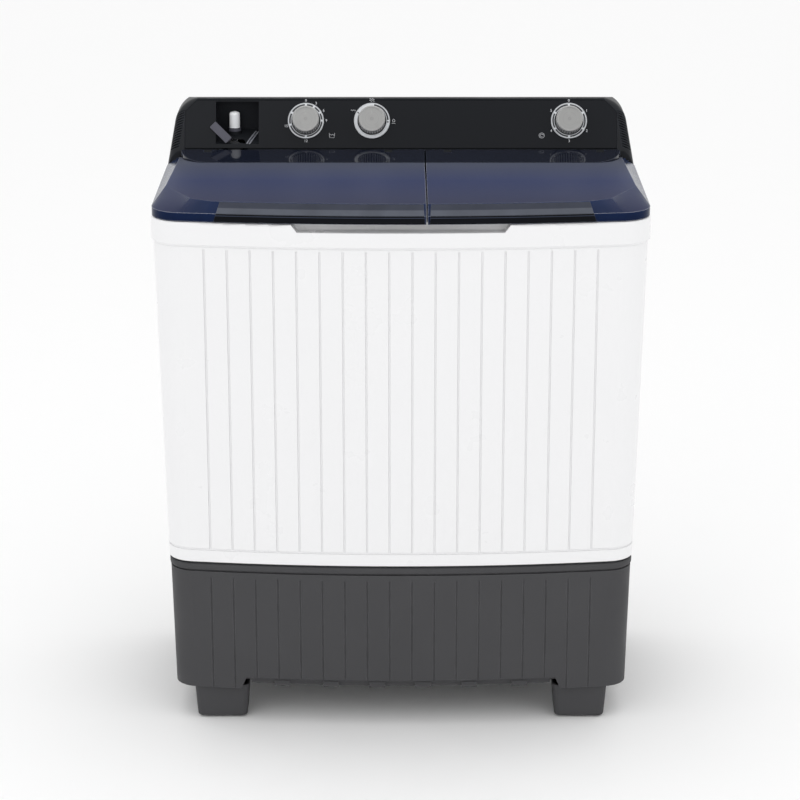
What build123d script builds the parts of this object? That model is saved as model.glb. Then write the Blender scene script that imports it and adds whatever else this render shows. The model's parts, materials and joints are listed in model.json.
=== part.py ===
"""Twin tub washer: wash tub on the left, spin basket on the right, controls on a rear console.

Frame: X to the right of someone facing the controls, Y from the front to the back, Z up.
The origin is the middle of the footprint at floor level. Lengths are in millimetres.
"""
from build123d import *
from math import atan2, cos, radians, sin, sqrt, tan
import os

# ---- driving dimensions -------------------------------------------------------------
WIDTH = 755.0            # over the white rim
DEPTH = 456.0            # crown of the bowed front to the back
HEIGHT = 929.0           # floor to the top of the console
HALF = WIDTH / 2
FRONT = -DEPTH / 2
REAR = DEPTH / 2

FOOT_HEIGHT = 57.0
BASE_TOP = 266.0         # dark base
CABINET_BOTTOM = 269.5   # white cabinet
RIM_BOTTOM = 775.5       # white rim and deck
RIM_TOP = 814.0
LIP_TOP = 828.0          # upper edge of the lids' upright lip
LID_TOP = 841.5          # flat top of the lids
CONSOLE_FOOT = 855.5     # lower edge of the console's front panel

DRAFT = tan(radians(1.34))   # the cabinet narrows towards the floor
BOW_RADIUS = 2300.0          # front bow
RIM_CORNER = 52.0            # plan radius of the front corners
REAR_CORNER = 26.0
SKIN = 3.0                   # moulded wall thickness

GROOVES = 18                 # upright grooves on the front
GROOVE_PITCH = 34.75
GROOVE_DEPTH = 1.3
GROOVE_WIDTH = 2.6

CONSOLE_Y = 147.0            # console front at its foot
CONSOLE_TILT = 22.0          # degrees the panel leans back
PANEL_HALF = 348.0           # half width of the front panel
CHEEK_TAPER = 9.7            # degrees the console's ends lean inwards

SPLIT_X = 39.0               # joint between the two lids
LID_GAP = 2.4
LID_SKIN = 2.6
RAMP_Y = 89.0                # front edge of the raised rear caps
RAMP_SLOPE = 13.4
HINGE_Y = 135.0
CAP_EDGE = 0.8               # step at the front of the raised rear caps
BARREL_R = 6.2
RAMP = radians(RAMP_SLOPE)
HINGE_Z = LID_TOP + CAP_EDGE + (HINGE_Y - RAMP_Y) * tan(RAMP) - BARREL_R / cos(RAMP)
PIN_R = 2.5
RUNNING = 0.05               # radial clearance of a running fit

WASH_X, WASH_Y = -164.0, -43.0   # pulsator axis
WASH_TUB = (374.0, 286.0)        # inside width and depth
WASH_FLOOR = 345.0
SPIN_X, SPIN_Y = 206.0, -50.0    # spin basket axis
CHAMBER_R = 142.0
CHAMBER_FLOOR = 392.0
BASKET_R = 122.0
BASKET_FLOOR = 425.0
BASKET_TOP = 752.0


# ---- helpers ------------------------------------------------------------------------
def box(x0, x1, y0, y1, z0, z1):
    """Block between two corners."""
    return Pos((x0 + x1) / 2, (y0 + y1) / 2, (z0 + z1) / 2) * Box(x1 - x0, y1 - y0, z1 - z0)


def disc(x, y, z0, z1, radius):
    """Upright cylinder from z0 to z1."""
    return Pos(x, y, (z0 + z1) / 2) * Cylinder(radius, z1 - z0)


def ring(x, y, z0, z1, outer, inner):
    """Upright tube from z0 to z1."""
    return disc(x, y, z0, z1, outer) - disc(x, y, z0 - 1, z1 + 1, inner)


def cone(x, y, z0, z1, low_radius, high_radius):
    """Upright tapered cylinder from z0 to z1."""
    sections = [Pos(x, y, z0) * Circle(low_radius), Pos(x, y, z1) * Circle(high_radius)]
    return loft(sections, ruled=True)


def bar_x(y, z, x0, x1, radius):
    """Cylinder along X."""
    return Pos((x0 + x1) / 2, y, z) * Rot(0, 90, 0) * Cylinder(radius, x1 - x0)


def bar_y(x, z, y0, y1, radius):
    """Cylinder along Y."""
    return Pos(x, (y0 + y1) / 2, z) * Rot(90, 0, 0) * Cylinder(radius, y1 - y0)


def prism_x(points, x0, x1):
    """Outline in the YZ plane swept from x0 to x1."""
    face = make_face(Polyline(*[(x0, y, z) for y, z in points], close=True))
    return extrude(face, amount=x1 - x0, dir=(1, 0, 0))


def prism_y(points, y0, y1):
    """Outline in the XZ plane swept from y0 to y1."""
    face = make_face(Polyline(*[(x, y0, z) for x, z in points], close=True))
    return extrude(face, amount=y1 - y0, dir=(0, 1, 0))


def rounded_block(x, y, width, depth, z0, z1, corner):
    """Upright block with rounded plan corners."""
    return Pos(x, y, z0) * extrude(RectangleRounded(width, depth, corner), amount=z1 - z0)


def rounded_frustum(x, y, low, high, z0, z1):
    """Tapered upright block; low and high are (width, depth, corner) at each end."""
    sections = [Pos(x, y, z) * RectangleRounded(*size) for z, size in ((z0, low), (z1, high))]
    return loft(sections, ruled=True)


def group(*shapes):
    """Separate solids held in one node."""
    solids = [solid for shape in shapes for solid in shape.solids()]
    return Compound(solids)


# ---- cabinet outline ----------------------------------------------------------------
def plan_face(z, half, front, rear, corner, rear_corner):
    """Plan outline with a bowed front, at height z."""
    bow = BOW_RADIUS - sqrt(BOW_RADIUS ** 2 - half ** 2)
    front_left, front_right = (-half, front + bow), (half, front + bow)
    arc = ThreePointArc(front_left, (0, front), front_right)
    sides = Polyline(front_right, (half, rear), (-half, rear), front_left)
    face = make_face(arc + sides)
    by_y = face.vertices().sort_by(Axis.Y)
    face = fillet(by_y[:2], corner)
    face = fillet(face.vertices().sort_by(Axis.Y)[-2:], rear_corner)
    return Pos(0, 0, z) * face


def body_face(z, inset=0.0):
    """Plan outline of the drafted cabinet at height z, moved inwards by inset."""
    shrink = (RIM_BOTTOM - z) * DRAFT + inset
    corner = max(RIM_CORNER - shrink * 0.8, 8)
    rear_corner = max(REAR_CORNER - inset, 6)
    return plan_face(z, HALF - 3 - shrink, FRONT + 4.5 + shrink, REAR - 3 - shrink, corner, rear_corner)


def body_block(z0, z1, inset=0.0):
    """Solid of the drafted cabinet between two heights."""
    return loft([body_face(z0, inset), body_face(z1, inset)], ruled=True)


def rim_block(z0, z1, inset=0.0):
    """Upright solid with the rim's outline."""
    corner = max(RIM_CORNER - inset, 8)
    rear_corner = max(REAR_CORNER - inset, 6)
    face = plan_face(z0, HALF - inset, FRONT + inset, REAR - inset, corner, rear_corner)
    return extrude(face, amount=z1 - z0)


def front_grooves(z0, z1, inset=0.0):
    """Cutters for the upright grooves between two heights, on a face moved inwards by inset."""
    cutters = []
    for index in range(GROOVES):
        x = (index - (GROOVES - 1) / 2) * GROOVE_PITCH
        bow = BOW_RADIUS - sqrt(BOW_RADIUS ** 2 - x ** 2)
        low = FRONT + 4.5 + (RIM_BOTTOM - z0) * DRAFT + bow + inset
        high = FRONT + 4.5 + (RIM_BOTTOM - z1) * DRAFT + bow + inset
        section = [(low - 5, z0), (low + GROOVE_DEPTH, z0), (high + GROOVE_DEPTH, z1), (high - 5, z1)]
        cutters.append(prism_x(section, x - GROOVE_WIDTH / 2, x + GROOVE_WIDTH / 2))
    return cutters


# ---- outer shell --------------------------------------------------------------------
SHELL_TOP = 796.0            # cabinet wall inside the rim
RING_GROOVE_Z = 290.0
BACK_OPENING = (-295.0, 295.0, 300.0, 740.0)
GLAND_X, GLAND_Z, GLAND_R = 250.0, 340.0, 9.0
CORD_R = 4.2                 # bore for the supply cord


def cabinet():
    """White drafted wall, open at the top and bottom, with a service opening behind."""
    wall = body_block(CABINET_BOTTOM, RIM_BOTTOM) + body_block(RIM_BOTTOM, SHELL_TOP, 3)
    inner = body_block(CABINET_BOTTOM - 1, RIM_BOTTOM - SKIN, SKIN)
    inner += body_block(RIM_BOTTOM - SKIN - 1, SHELL_TOP + 1, SKIN + 3)
    wall -= inner
    x0, x1, z0, z1 = BACK_OPENING
    wall -= box(x0, x1, REAR - 40, REAR + 5, z0, z1)
    wall -= front_grooves(RING_GROOVE_Z + 1, RIM_BOTTOM - 4)
    ring_cut = body_block(RING_GROOVE_Z - 1.4, RING_GROOVE_Z + 1.4, -3)
    ring_cut -= body_block(RING_GROOVE_Z - 3, RING_GROOVE_Z + 3, 1.2)
    return wall - ring_cut


def rear_panel():
    """Screwed service panel that closes the opening behind."""
    x0, x1, z0, z1 = BACK_OPENING
    y = REAR - 3 - (RIM_BOTTOM - z0) * DRAFT - SKIN - 2.2
    panel = box(x0 - 14, x1 + 14, y - 1.2, y, z0 - 12, z1 + 12)
    for index in range(9):
        z = z0 + 60 + index * 26
        panel -= box(-110, -20, y - 5, y + 5, z, z + 8)
    for x, z in panel_screw_places():
        panel -= bar_y(x, z, y - 5, y + 5, 2.1)
    panel -= bar_y(GLAND_X, GLAND_Z, y - 5, y + 5, GLAND_R)
    ribs = [box(x - 4, x + 4, y - 0.1, y + 1.6, z0 + 20, z1 - 20) for x in (-200, 80, 200)]
    return panel + ribs


def panel_screw_places():
    """X and Z of each rear panel screw."""
    x0, x1, z0, z1 = BACK_OPENING
    rows = (z0 - 5, (z0 + z1) / 2, z1 + 5)
    sides = [(x, z) for x in (x0 - 7, x1 + 7) for z in rows]
    return sides + [(0, rows[0]), (0, rows[2])]


def rear_panel_screws():
    """Pan head screws of the rear panel, driven in from inside the flange."""
    y = REAR - 3 - (RIM_BOTTOM - BACK_OPENING[2]) * DRAFT - SKIN - 2.2
    screws = []
    for x, z in panel_screw_places():
        shank = bar_y(x, z, y - 1.2, y + 2, 2.0)
        head = bar_y(x, z, y - 3.8, y - 1.2, 4.2)
        screws.append(shank + head)
    return group(*screws)


def wash_opening(z0, z1, grow=0.0):
    """Clear space of the wash tub's mouth."""
    width, depth = WASH_TUB
    return rounded_block(WASH_X, WASH_Y, width + 2 * grow, depth + 2 * grow, z0, z1, 60 + grow)


def spin_opening(z0, z1, grow=0.0):
    """Clear space above the spin chamber."""
    return disc(SPIN_X, SPIN_Y, z0, z1, CHAMBER_R - 8 + grow)


SCOOP_HALF = 155.0
SCOOP_DEPTH = 12.0
DECK_SKIN = 4.0
FLANGE = 9.0                 # tub flange under the deck


def top_frame():
    """White rim and deck with the two tub mouths and a finger scoop in front."""
    rim = rim_block(RIM_BOTTOM, RIM_TOP)
    top_edges = rim.faces().sort_by(Axis.Z)[-1].edges()
    rim = fillet(top_edges, 3.5)
    bottom_edges = rim.faces().sort_by(Axis.Z)[0].edges()
    rim = chamfer(bottom_edges, 4)
    rail = body_block(RIM_BOTTOM - 1, RIM_TOP - DECK_SKIN, 3 - 0.3)
    rim -= rail
    front_rail = rim_block(SHELL_TOP + 1, RIM_TOP - DECK_SKIN + 1, 1)
    front_rail &= box(-SCOOP_HALF - 22, SCOOP_HALF + 22, FRONT, FRONT + 34, RIM_TOP - 30, RIM_TOP)
    front_rail -= wash_opening(RIM_BOTTOM, RIM_TOP - DECK_SKIN, FLANGE + 0.5)
    front_rail -= spin_opening(RIM_BOTTOM, RIM_TOP - DECK_SKIN, FLANGE + 8.5)
    rim += front_rail
    run = 10.0
    floor = RIM_TOP - SCOOP_DEPTH
    outline = [(-SCOOP_HALF - run, RIM_TOP + 1), (-SCOOP_HALF, floor), (SCOOP_HALF, floor)]
    outline.append((SCOOP_HALF + run, RIM_TOP + 1))
    scoop = prism_y(outline, FRONT - 5, FRONT + 25)
    rim -= scoop
    rim -= wash_opening(RIM_BOTTOM, RIM_TOP + 5)
    rim -= spin_opening(RIM_BOTTOM, RIM_TOP + 5)
    rim -= box(-335, 335, CONSOLE_Y + 6, REAR - 14, RIM_BOTTOM, RIM_TOP + 5)
    return rim


BASE_INSET = 1.6


def base():
    """Dark lower shell with a rounded lip, upright grooves and a raised front edge."""
    lip_low = BASE_TOP - 11
    lip = body_block(lip_low, BASE_TOP, 0.4)
    lip_edges = lip.faces().sort_by(Axis.Z)[-1].edges() + lip.faces().sort_by(Axis.Z)[0].edges()
    lip = fillet(lip_edges, 3.0)
    shell = lip + body_block(FOOT_HEIGHT, lip_low - 2.2, BASE_INSET)
    shell += body_block(lip_low - 4, CABINET_BOTTOM, 5)
    shell += body_block(CABINET_BOTTOM - 1, CABINET_BOTTOM + 14, SKIN + 0.4)
    shell -= body_block(FOOT_HEIGHT - 1, CABINET_BOTTOM + 15, SKIN + 5)
    shell -= front_grooves(FOOT_HEIGHT - 1, lip_low - 12, BASE_INSET)
    low, high = FOOT_HEIGHT - 1, FOOT_HEIGHT + 19
    apron = [(-252, low), (-243, high), (243, high), (252, low)]
    shell -= prism_y(apron, FRONT - 5, FRONT + 80)
    return shell - bar_y(DRAIN_X, DRAIN_Z, 150, REAR + 5, 14)


TRAY_Z = FOOT_HEIGHT + 14
TRAY_RIBS = (-187, -110, -37, 35, 108, 187)


def base_tray():
    """Ribbed bottom pan that carries the drain pan floor and the spin motor."""
    floor = body_block(TRAY_Z, TRAY_Z + 3, SKIN + 5.4)
    wall = body_block(TRAY_Z, TRAY_Z + 24, SKIN + 5.4) - body_block(TRAY_Z - 1, TRAY_Z + 25, SKIN + 8)
    tray = floor + wall
    for x in TRAY_RIBS:
        keel = box(x - 12, x + 12, FRONT + 45, REAR - 40, TRAY_Z - 9, TRAY_Z + 0.5)
        tray += keel - box(x - 9, x + 9, FRONT + 48, REAR - 43, TRAY_Z - 10, TRAY_Z - 1)
    tray -= disc(WASH_X, WASH_Y, TRAY_Z - 20, TRAY_Z + 20, 40)
    return tray - bar_y(DRAIN_X, DRAIN_Z, 150, REAR, 14)


FOOT_X = 283.0
FOOT_YS = (FRONT + 83, REAR - 66)


def feet():
    """Four tapered moulded legs."""
    legs = []
    for x in (-FOOT_X, FOOT_X):
        for y in FOOT_YS:
            leg = rounded_frustum(x, y, (78, 60, 9), (86, 66, 8), 3.0, FOOT_HEIGHT)
            leg = fillet(leg.faces().sort_by(Axis.Z)[0].edges(), 3.5)
            leg -= rounded_frustum(x, y, (70, 52, 6), (78, 58, 6), 8.0, FOOT_HEIGHT + 1)
            leg += box(x - 36, x + 36, y - 1.5, y + 1.5, 8, FOOT_HEIGHT)
            leg += box(x - 1.5, x + 1.5, y - 27, y + 27, 8, FOOT_HEIGHT)
            leg -= disc(x, y, 0, 5, 21)
            legs.append(leg)
    return group(*legs)


def foot_pads():
    """Rubber pads under the legs."""
    pads = []
    for x in (-FOOT_X, FOOT_X):
        for y in FOOT_YS:
            pad = disc(x, y, 0, 5, 20.8)
            pads.append(fillet(pad.faces().sort_by(Axis.Z)[0].edges(), 1.2))
    return group(*pads)


# ---- console ------------------------------------------------------------------------
LEAN = radians(CONSOLE_TILT)
PANEL = Plane(origin=(0, CONSOLE_Y, CONSOLE_FOOT), x_dir=(1, 0, 0), z_dir=(0, -cos(LEAN), sin(LEAN)))
PANEL_HEIGHT = (HEIGHT - CONSOLE_FOOT) / cos(LEAN)
FASCIA_SKIN = 2.4
CONSOLE_CORNER = 44.0
CONSOLE_BACK = REAR - 2
CONSOLE_WALL_Y = 144.4       # upright front wall below the panel
POCKET_X0, POCKET_X1 = -298.0, -229.0
POCKET_LIP = (148.9, 860.0)  # Y and Z of the pocket floor's front edge
POCKET_BACK = 196.0
POCKET_SLOPE = radians(18.3)
DIALS = {"wash_timer": -153.0, "wash_mode": -46.5, "spin_timer": 271.0}
DIAL_S = 42.5                # height of the dials along the panel
KNOB_R = 21.5
SELECTOR_X = -267.0         # selector axis, on the foot line of the panel


def on_panel(x, s, n, shape):
    """Place a shape at x, s up the panel and n in front of it, facing outwards."""
    return PANEL * Pos(x, s, n) * shape


def console_outline(inset):
    """Front view of the console, tapering upwards to rounded shoulders."""
    taper = tan(radians(CHEEK_TAPER))
    half = HALF - 1.5 - inset
    top = HEIGHT - inset
    knee = RIM_TOP + 12
    top_half = half - (top - knee) * taper
    left = [(-half, RIM_TOP), (-half, knee), (-top_half, top)]
    points = left + [(top_half, top), (half, knee), (half, RIM_TOP)]
    face = make_face(Polyline(*[(x, 0, z) for x, z in points], close=True))
    shoulders = face.vertices().sort_by(Axis.Z)[-2:]
    return fillet(shoulders, CONSOLE_CORNER - inset)


def console_section(inset):
    """Side view of the console: upright foot, leaning panel, top falling to the back."""
    knee = CONSOLE_FOOT - (CONSOLE_Y - CONSOLE_WALL_Y) / tan(LEAN)
    step = inset / cos(LEAN)
    top = HEIGHT - inset
    crest = CONSOLE_Y + (top - CONSOLE_FOOT) * tan(LEAN) + step
    front = [(CONSOLE_WALL_Y + inset, RIM_TOP), (CONSOLE_WALL_Y + inset, knee), (crest, top)]
    back = [(CONSOLE_BACK - inset, top - 7), (CONSOLE_BACK - inset, RIM_TOP)]
    return front + back


def console_block(inset=0.0):
    """Solid envelope of the console, moved inwards by inset."""
    bar = extrude(Pos(0, 100, 0) * console_outline(inset), amount=160, dir=(0, 1, 0))
    block = bar & prism_x(console_section(inset), -HALF, HALF)
    outer = block.edges().filter_by(lambda e: abs(e.center().X) > 340 and e.center().Y < 182)
    return fillet(outer.filter_by(lambda e: e.length > 30), 15 - inset)


def fascia_outline(margin=0.0):
    """Prism along Y through the flat front panel, clipped at its upper corners."""
    half = PANEL_HALF + margin
    top = HEIGHT + 5
    clip = HEIGHT - 20
    points = [(-half, RIM_TOP - 5), (-half, clip), (-half + 26, top), (half - 26, top), (half, clip)]
    points.append((half, RIM_TOP - 5))
    return prism_y(points, 100, REAR + 10)


def pocket_space(margin):
    """Water inlet pocket open to the front; its floor falls forward under a thin roof edge."""
    x0, x1 = POCKET_X0 - margin, POCKET_X1 + margin
    lip, back, roof = POCKET_LIP, POCKET_BACK + margin, HEIGHT - 3.6 + margin / 2
    rise = (back - lip[0]) * tan(POCKET_SLOPE)
    low = [(CONSOLE_Y - 17, lip[1] - 6 - margin), (lip[0], lip[1] - margin), (back, lip[1] + rise - margin)]
    high = [(back, roof - 2.8), (CONSOLE_Y + 3, roof), (CONSOLE_Y - 17, roof)]
    return prism_x(low + high, x0, x1)


def selector_well(margin):
    """Round recess for the selector hub, in the front of the pocket floor."""
    return on_panel(SELECTOR_X, 0, -7, Cylinder(19 + margin, 15 + margin))


def console_housing():
    """Dark shell behind the front panel, with the pocket and dial holes."""
    shell = console_block() - console_block(SKIN)
    shell &= fascia_outline()
    shell -= box(-HALF, HALF, CONSOLE_WALL_Y + SKIN, CONSOLE_BACK - SKIN, RIM_TOP - 2, RIM_TOP + 2)
    front = on_panel(0, PANEL_HEIGHT / 2 - 20, 0, Box(2 * HALF, PANEL_HEIGHT + 36, 2 * FASCIA_SKIN))
    shell -= front & box(-HALF, HALF, CONSOLE_WALL_Y - 20, REAR, CONSOLE_FOOT - 4, HEIGHT - 3)
    shell -= pocket_space(2.1)
    shell -= selector_well(1.5)
    for x in DIALS.values():
        shell -= on_panel(x, DIAL_S, 0, Cylinder(9, 30))
    return shell


def console_fascia():
    """Gloss front panel, cut away round the inlet pocket."""
    plate = on_panel(0, PANEL_HEIGHT / 2, -FASCIA_SKIN / 2, Box(2 * HALF, PANEL_HEIGHT + 4, FASCIA_SKIN))
    plate &= fascia_outline(-0.3)
    plate &= box(-HALF, HALF, CONSOLE_Y - 10, REAR, CONSOLE_FOOT - 3.6, HEIGHT - 3.4)
    plate -= pocket_space(0)
    for x in DIALS.values():
        plate -= on_panel(x, DIAL_S, 0, Cylinder(6, 30))
    return plate


def console_cheeks():
    """Ribbed end caps of the console, made on the right and mirrored."""
    cap = console_block() - console_block(SKIN)
    cap -= fascia_outline(0.25)
    cap &= box(0, HALF, 100, REAR, RIM_TOP, HEIGHT + 5)
    ribs, pitch = 15, 3.9
    edge_half = HALF - 1.5 - 4.5
    for index in range(ribs):
        z = CONSOLE_FOOT - 2 + index * pitch
        x = edge_half - 3.5 - (z - RIM_TOP - 12) * tan(radians(CHEEK_TAPER))
        y = CONSOLE_Y + (z - CONSOLE_FOOT) * tan(LEAN) + 3.4
        turn = Rot(-CONSOLE_TILT, 0, 0) * Rot(0, 0, 38) * Rot(0, 17, 0)
        cap -= Pos(x, y, z) * turn * Box(19, 4.2, 1.9)
    return group(mirror(cap, about=Plane.YZ), cap)


# ---- water inlet and selector ---------------------------------------------------------
SPOUT_X, SPOUT_Y, SPOUT_R = -269.0, 184.0, 8.5
SPOUT_FOOT = POCKET_LIP[1] + (SPOUT_Y - POCKET_LIP[0]) * tan(POCKET_SLOPE)
SPOUT_SEAT = SPOUT_FOOT + 3.2    # flat boss under the spigot
COLLAR_TALL = 5.6
SELECTOR_REST = 45.0         # degrees the lever leans to the left at rest
SHAFT_R = 3.0


def inlet_pocket():
    """Moulded pocket with a bearing boss for the selector under its floor."""
    wall = pocket_space(2.0) - pocket_space(0)
    behind = on_panel(0, 40, -60 - FASCIA_SKIN, Box(2 * HALF, 220, 120))
    wall &= behind
    x0, x1 = SELECTOR_X - 1.5, SELECTOR_X + 1.5
    web = box(x0, x1, CONSOLE_Y + 16, CONSOLE_Y + 34, CONSOLE_FOOT - 10, CONSOLE_FOOT + 16)
    slope_end = (260, POCKET_LIP[1] + 111.1 * tan(POCKET_SLOPE))
    web -= prism_x([(100, 857.0), POCKET_LIP, slope_end, (100, 960)], x0 - 1, x1 + 1)
    wall += web + on_panel(SELECTOR_X, 0, -26, Cylinder(6, 20))
    wall -= selector_well(0)
    wall -= on_panel(SELECTOR_X, 0, -30, Cylinder(SHAFT_R + RUNNING, 60))
    wall += disc(SPOUT_X, SPOUT_Y, SPOUT_FOOT - 3, SPOUT_SEAT, SPOUT_R + 2)
    wall -= disc(SPOUT_X, SPOUT_Y, SPOUT_FOOT - 30, SPOUT_SEAT + 5, 5.4)
    return wall


def inlet_spout():
    """Domed hose spigot with a water way through it."""
    low = SPOUT_SEAT
    tube = disc(SPOUT_X, SPOUT_Y, low, low + 31, SPOUT_R)
    tube = fillet(tube.faces().sort_by(Axis.Z)[-1].edges(), 4.5)
    tube += disc(SPOUT_X, SPOUT_Y, low, low + COLLAR_TALL, SPOUT_R + 0.4)
    tube += disc(SPOUT_X, SPOUT_Y, low - 16, low + 1, 5.2)
    return tube - disc(SPOUT_X, SPOUT_Y, low - 20, low + 40, 3.2)


def inlet_collar():
    """Grey clamping ring at the foot of the spigot."""
    return ring(SPOUT_X, SPOUT_Y, SPOUT_SEAT, SPOUT_SEAT + COLLAR_TALL, SPOUT_R + 1.4, SPOUT_R + 0.4)


def water_selector():
    """Lever that sends the water to one tub or the other, leaning left at rest."""
    turn = Rot(0, 0, SELECTOR_REST)
    paddle = Pos(0, 32.5, 2.4) * Box(13, 37, 3)
    paddle = fillet(paddle.edges().filter_by(Axis.Z), 1.2)
    neck = Pos(0, 15.5, -4.6) * Box(7, 4, 14)
    hub = Pos(0, 0, -9.5) * Cylinder(11, 7)
    hub = fillet(hub.faces().sort_by(Axis.Z)[-1].edges(), 2.0)
    arm = Pos(0, 10.25, -9.5) * Box(8, 14.5, 7)
    spindle = Pos(0, 0, -27) * Cylinder(SHAFT_R, 30)
    return on_panel(SELECTOR_X, 0, 0, turn * (paddle + neck + arm + hub + spindle))


def selector_chute():
    """Tongue on the selector's spindle that steers the water."""
    hub = Pos(0, 0, -39.0) * Cylinder(5.5, 5)
    tongue = Pos(0, -12, -39.0) * Box(16, 18, 2.4)
    shape = Rot(0, 0, SELECTOR_REST) * (hub + tongue) - Pos(0, 0, -39) * Cylinder(SHAFT_R, 20)
    return on_panel(SELECTOR_X, 0, 0, shape)


# ---- dials --------------------------------------------------------------------------
KNURLS = 44


def dial_bezel(x):
    """Raised scale ring round a dial, fixed to the front panel."""
    outer, inner = 29.0, KNOB_R + 1.6
    band = Cylinder(outer, 1.8) - Cylinder(inner, 4)
    band = chamfer(band.edges().group_by(Axis.Z)[-1], 0.5)
    return on_panel(x, DIAL_S, 0.9, band)


def dial_knob(x):
    """Turned knob with a knurled side, a dished face, a pointer notch and its own stem."""
    body = Pos(0, 0, 10.2) * Cylinder(KNOB_R, 18)
    body = chamfer(body.faces().sort_by(Axis.Z)[-1].edges(), 1.4)
    flute = Pos(KNOB_R + 0.25, 0, 8.5) * Cylinder(0.85, 14)
    flutes = [Rot(0, 0, index * 360 / KNURLS) * flute for index in range(KNURLS)]
    body -= flutes
    body -= Pos(0, 0, 19.0) * Cylinder(KNOB_R - 3.4, 1.0)
    body -= Pos(0, KNOB_R - 8.5, 18.4) * Box(1.8, 9.0, 1.2)
    body -= Pos(0, 0, 5.2) * (Cylinder(KNOB_R - 3, 10) - Cylinder(6.5, 10))
    body += Pos(0, 0, -13) * Cylinder(SHAFT_R, 40)
    return on_panel(x, DIAL_S, 0, body)


def dial_switch(x, width, height, depth):
    """Timer or rotary switch behind the panel, with terminals."""
    case = Pos(0, 0, -5 - depth / 2) * Box(width, height, depth)
    case = chamfer(case.edges().filter_by(Axis.Z), 3)
    bush = Pos(0, 0, -4) * Cylinder(8, 3)
    back = -5 - depth
    blades = [Pos(i * 9 - 13.5, -height / 2 + 6, back - 4) * Box(6.3, 0.8, 8) for i in range(4)]
    case = case + bush + blades
    return on_panel(x, DIAL_S, 0, case - Pos(0, 0, -17) * Cylinder(SHAFT_R + RUNNING, 34))


def timer_switches():
    """The two clockwork timers."""
    return group(*[dial_switch(DIALS[name], 60, 50, 28) for name in ("wash_timer", "spin_timer")])


# ---- lids ---------------------------------------------------------------------------
LID_LOW = RIM_TOP + 1.0
LID_REAR = 138.0
CAP_HALF = 352.0
CAP_CORNER = 46.0
EAR_HALF = 6.0
WASH_EARS = (-310.0, -20.0)
SPIN_EARS = (75.0, 320.0)
HANDLE_PROUD = 1.2


def lip_outline(z, grow):
    """Outer outline of the lids at their upright lip."""
    half, front, corner = HALF - 1.5 + grow, FRONT + 1.5 - grow, RIM_CORNER - 1.5 + grow
    centre_y = front + BOW_RADIUS
    reach = BOW_RADIUS - corner
    corner_x = half - corner
    corner_y = centre_y - sqrt(reach ** 2 - corner_x ** 2)
    scale = BOW_RADIUS / reach
    joint = (corner_x * scale, centre_y + (corner_y - centre_y) * scale)
    turn = atan2(joint[1] - corner_y, joint[0] - corner_x) / 2
    middle = (corner_x + corner * cos(turn), corner_y + corner * sin(turn))
    knee_x = 290.0
    knee = (knee_x, centre_y - sqrt(BOW_RADIUS ** 2 - knee_x ** 2))
    return lid_wire(z, LID_REAR + min(grow, 0), half, (half, corner_y), middle, joint, knee, front)


def top_outline(z, grow):
    """Outline of the flat top of the lids, with clipped front corners."""
    rear_half, side_half, front = 355.0 + grow, 360.7 + grow, FRONT + 25.7 - grow
    corner, joint, knee = (side_half, -78.0), (317.0 + 0.6 * grow, -165.0 - 0.8 * grow), (285.0, front + 18.4)
    return lid_wire(z, LID_REAR + min(grow, 0), rear_half, corner, None, joint, knee, front)


def lid_wire(z, rear, rear_half, corner, middle, joint, knee, front):
    """Closed face through the mirrored outline points of the lids."""
    def left(point):
        return (-point[0], point[1])

    side = Line((rear_half, rear), corner)
    if middle:
        turn = ThreePointArc(corner, middle, joint)
        other_turn = ThreePointArc(left(joint), left(middle), left(corner))
    else:
        turn = Line(corner, joint)
        other_turn = Line(left(joint), left(corner))
    bow = ThreePointArc(knee, (0, front), left(knee))
    edges = [side, turn, Line(joint, knee), bow, Line(left(knee), left(joint)), other_turn]
    edges += [Line(left(corner), (-rear_half, rear)), Line((-rear_half, rear), (rear_half, rear))]
    return Pos(0, 0, z) * make_face(edges)


def lids_block(grow=0.0, drop=0.0):
    """Envelope of both lids: upright lip, sloping skirts and flat top."""
    lip = extrude(lip_outline(LID_LOW - drop, grow), amount=LIP_TOP - LID_LOW)
    crown = loft([lip_outline(LIP_TOP - drop, grow), top_outline(LID_TOP - drop, grow)], ruled=True)
    return lip + crown


def lid_span(side):
    """X range of one lid; side is -1 for the wash lid and 1 for the spin lid."""
    if side < 0:
        return -HALF, SPLIT_X - LID_GAP / 2
    return SPLIT_X + LID_GAP / 2, HALF


def lid_shell(side, ears):
    """Moulded see-through lid, hollow below, cut away at its hinge ears."""
    x0, x1 = lid_span(side)
    hollow = lids_block(-LID_SKIN, LID_SKIN)
    wall_left, wall_right = (0, LID_SKIN) if side < 0 else (LID_SKIN, 0)
    hollow &= box(x0 + wall_left, x1 - wall_right, FRONT, REAR, 780, 860)
    shell = lids_block() & box(x0, x1, FRONT - 5, REAR, 780, 860)
    shell -= hollow
    shell -= bar_x(HINGE_Y, HINGE_Z, -HALF, HALF, BARREL_R + 0.01)
    shell -= box(-HALF, HALF, HINGE_Y, REAR, HINGE_Z - BARREL_R - 0.4, 860)
    for x in ears:
        shell -= box(x - EAR_HALF - 0.5, x + EAR_HALF + 0.5, HINGE_Y - 9, REAR, HINGE_Z - 24, 870)
    return shell


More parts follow.
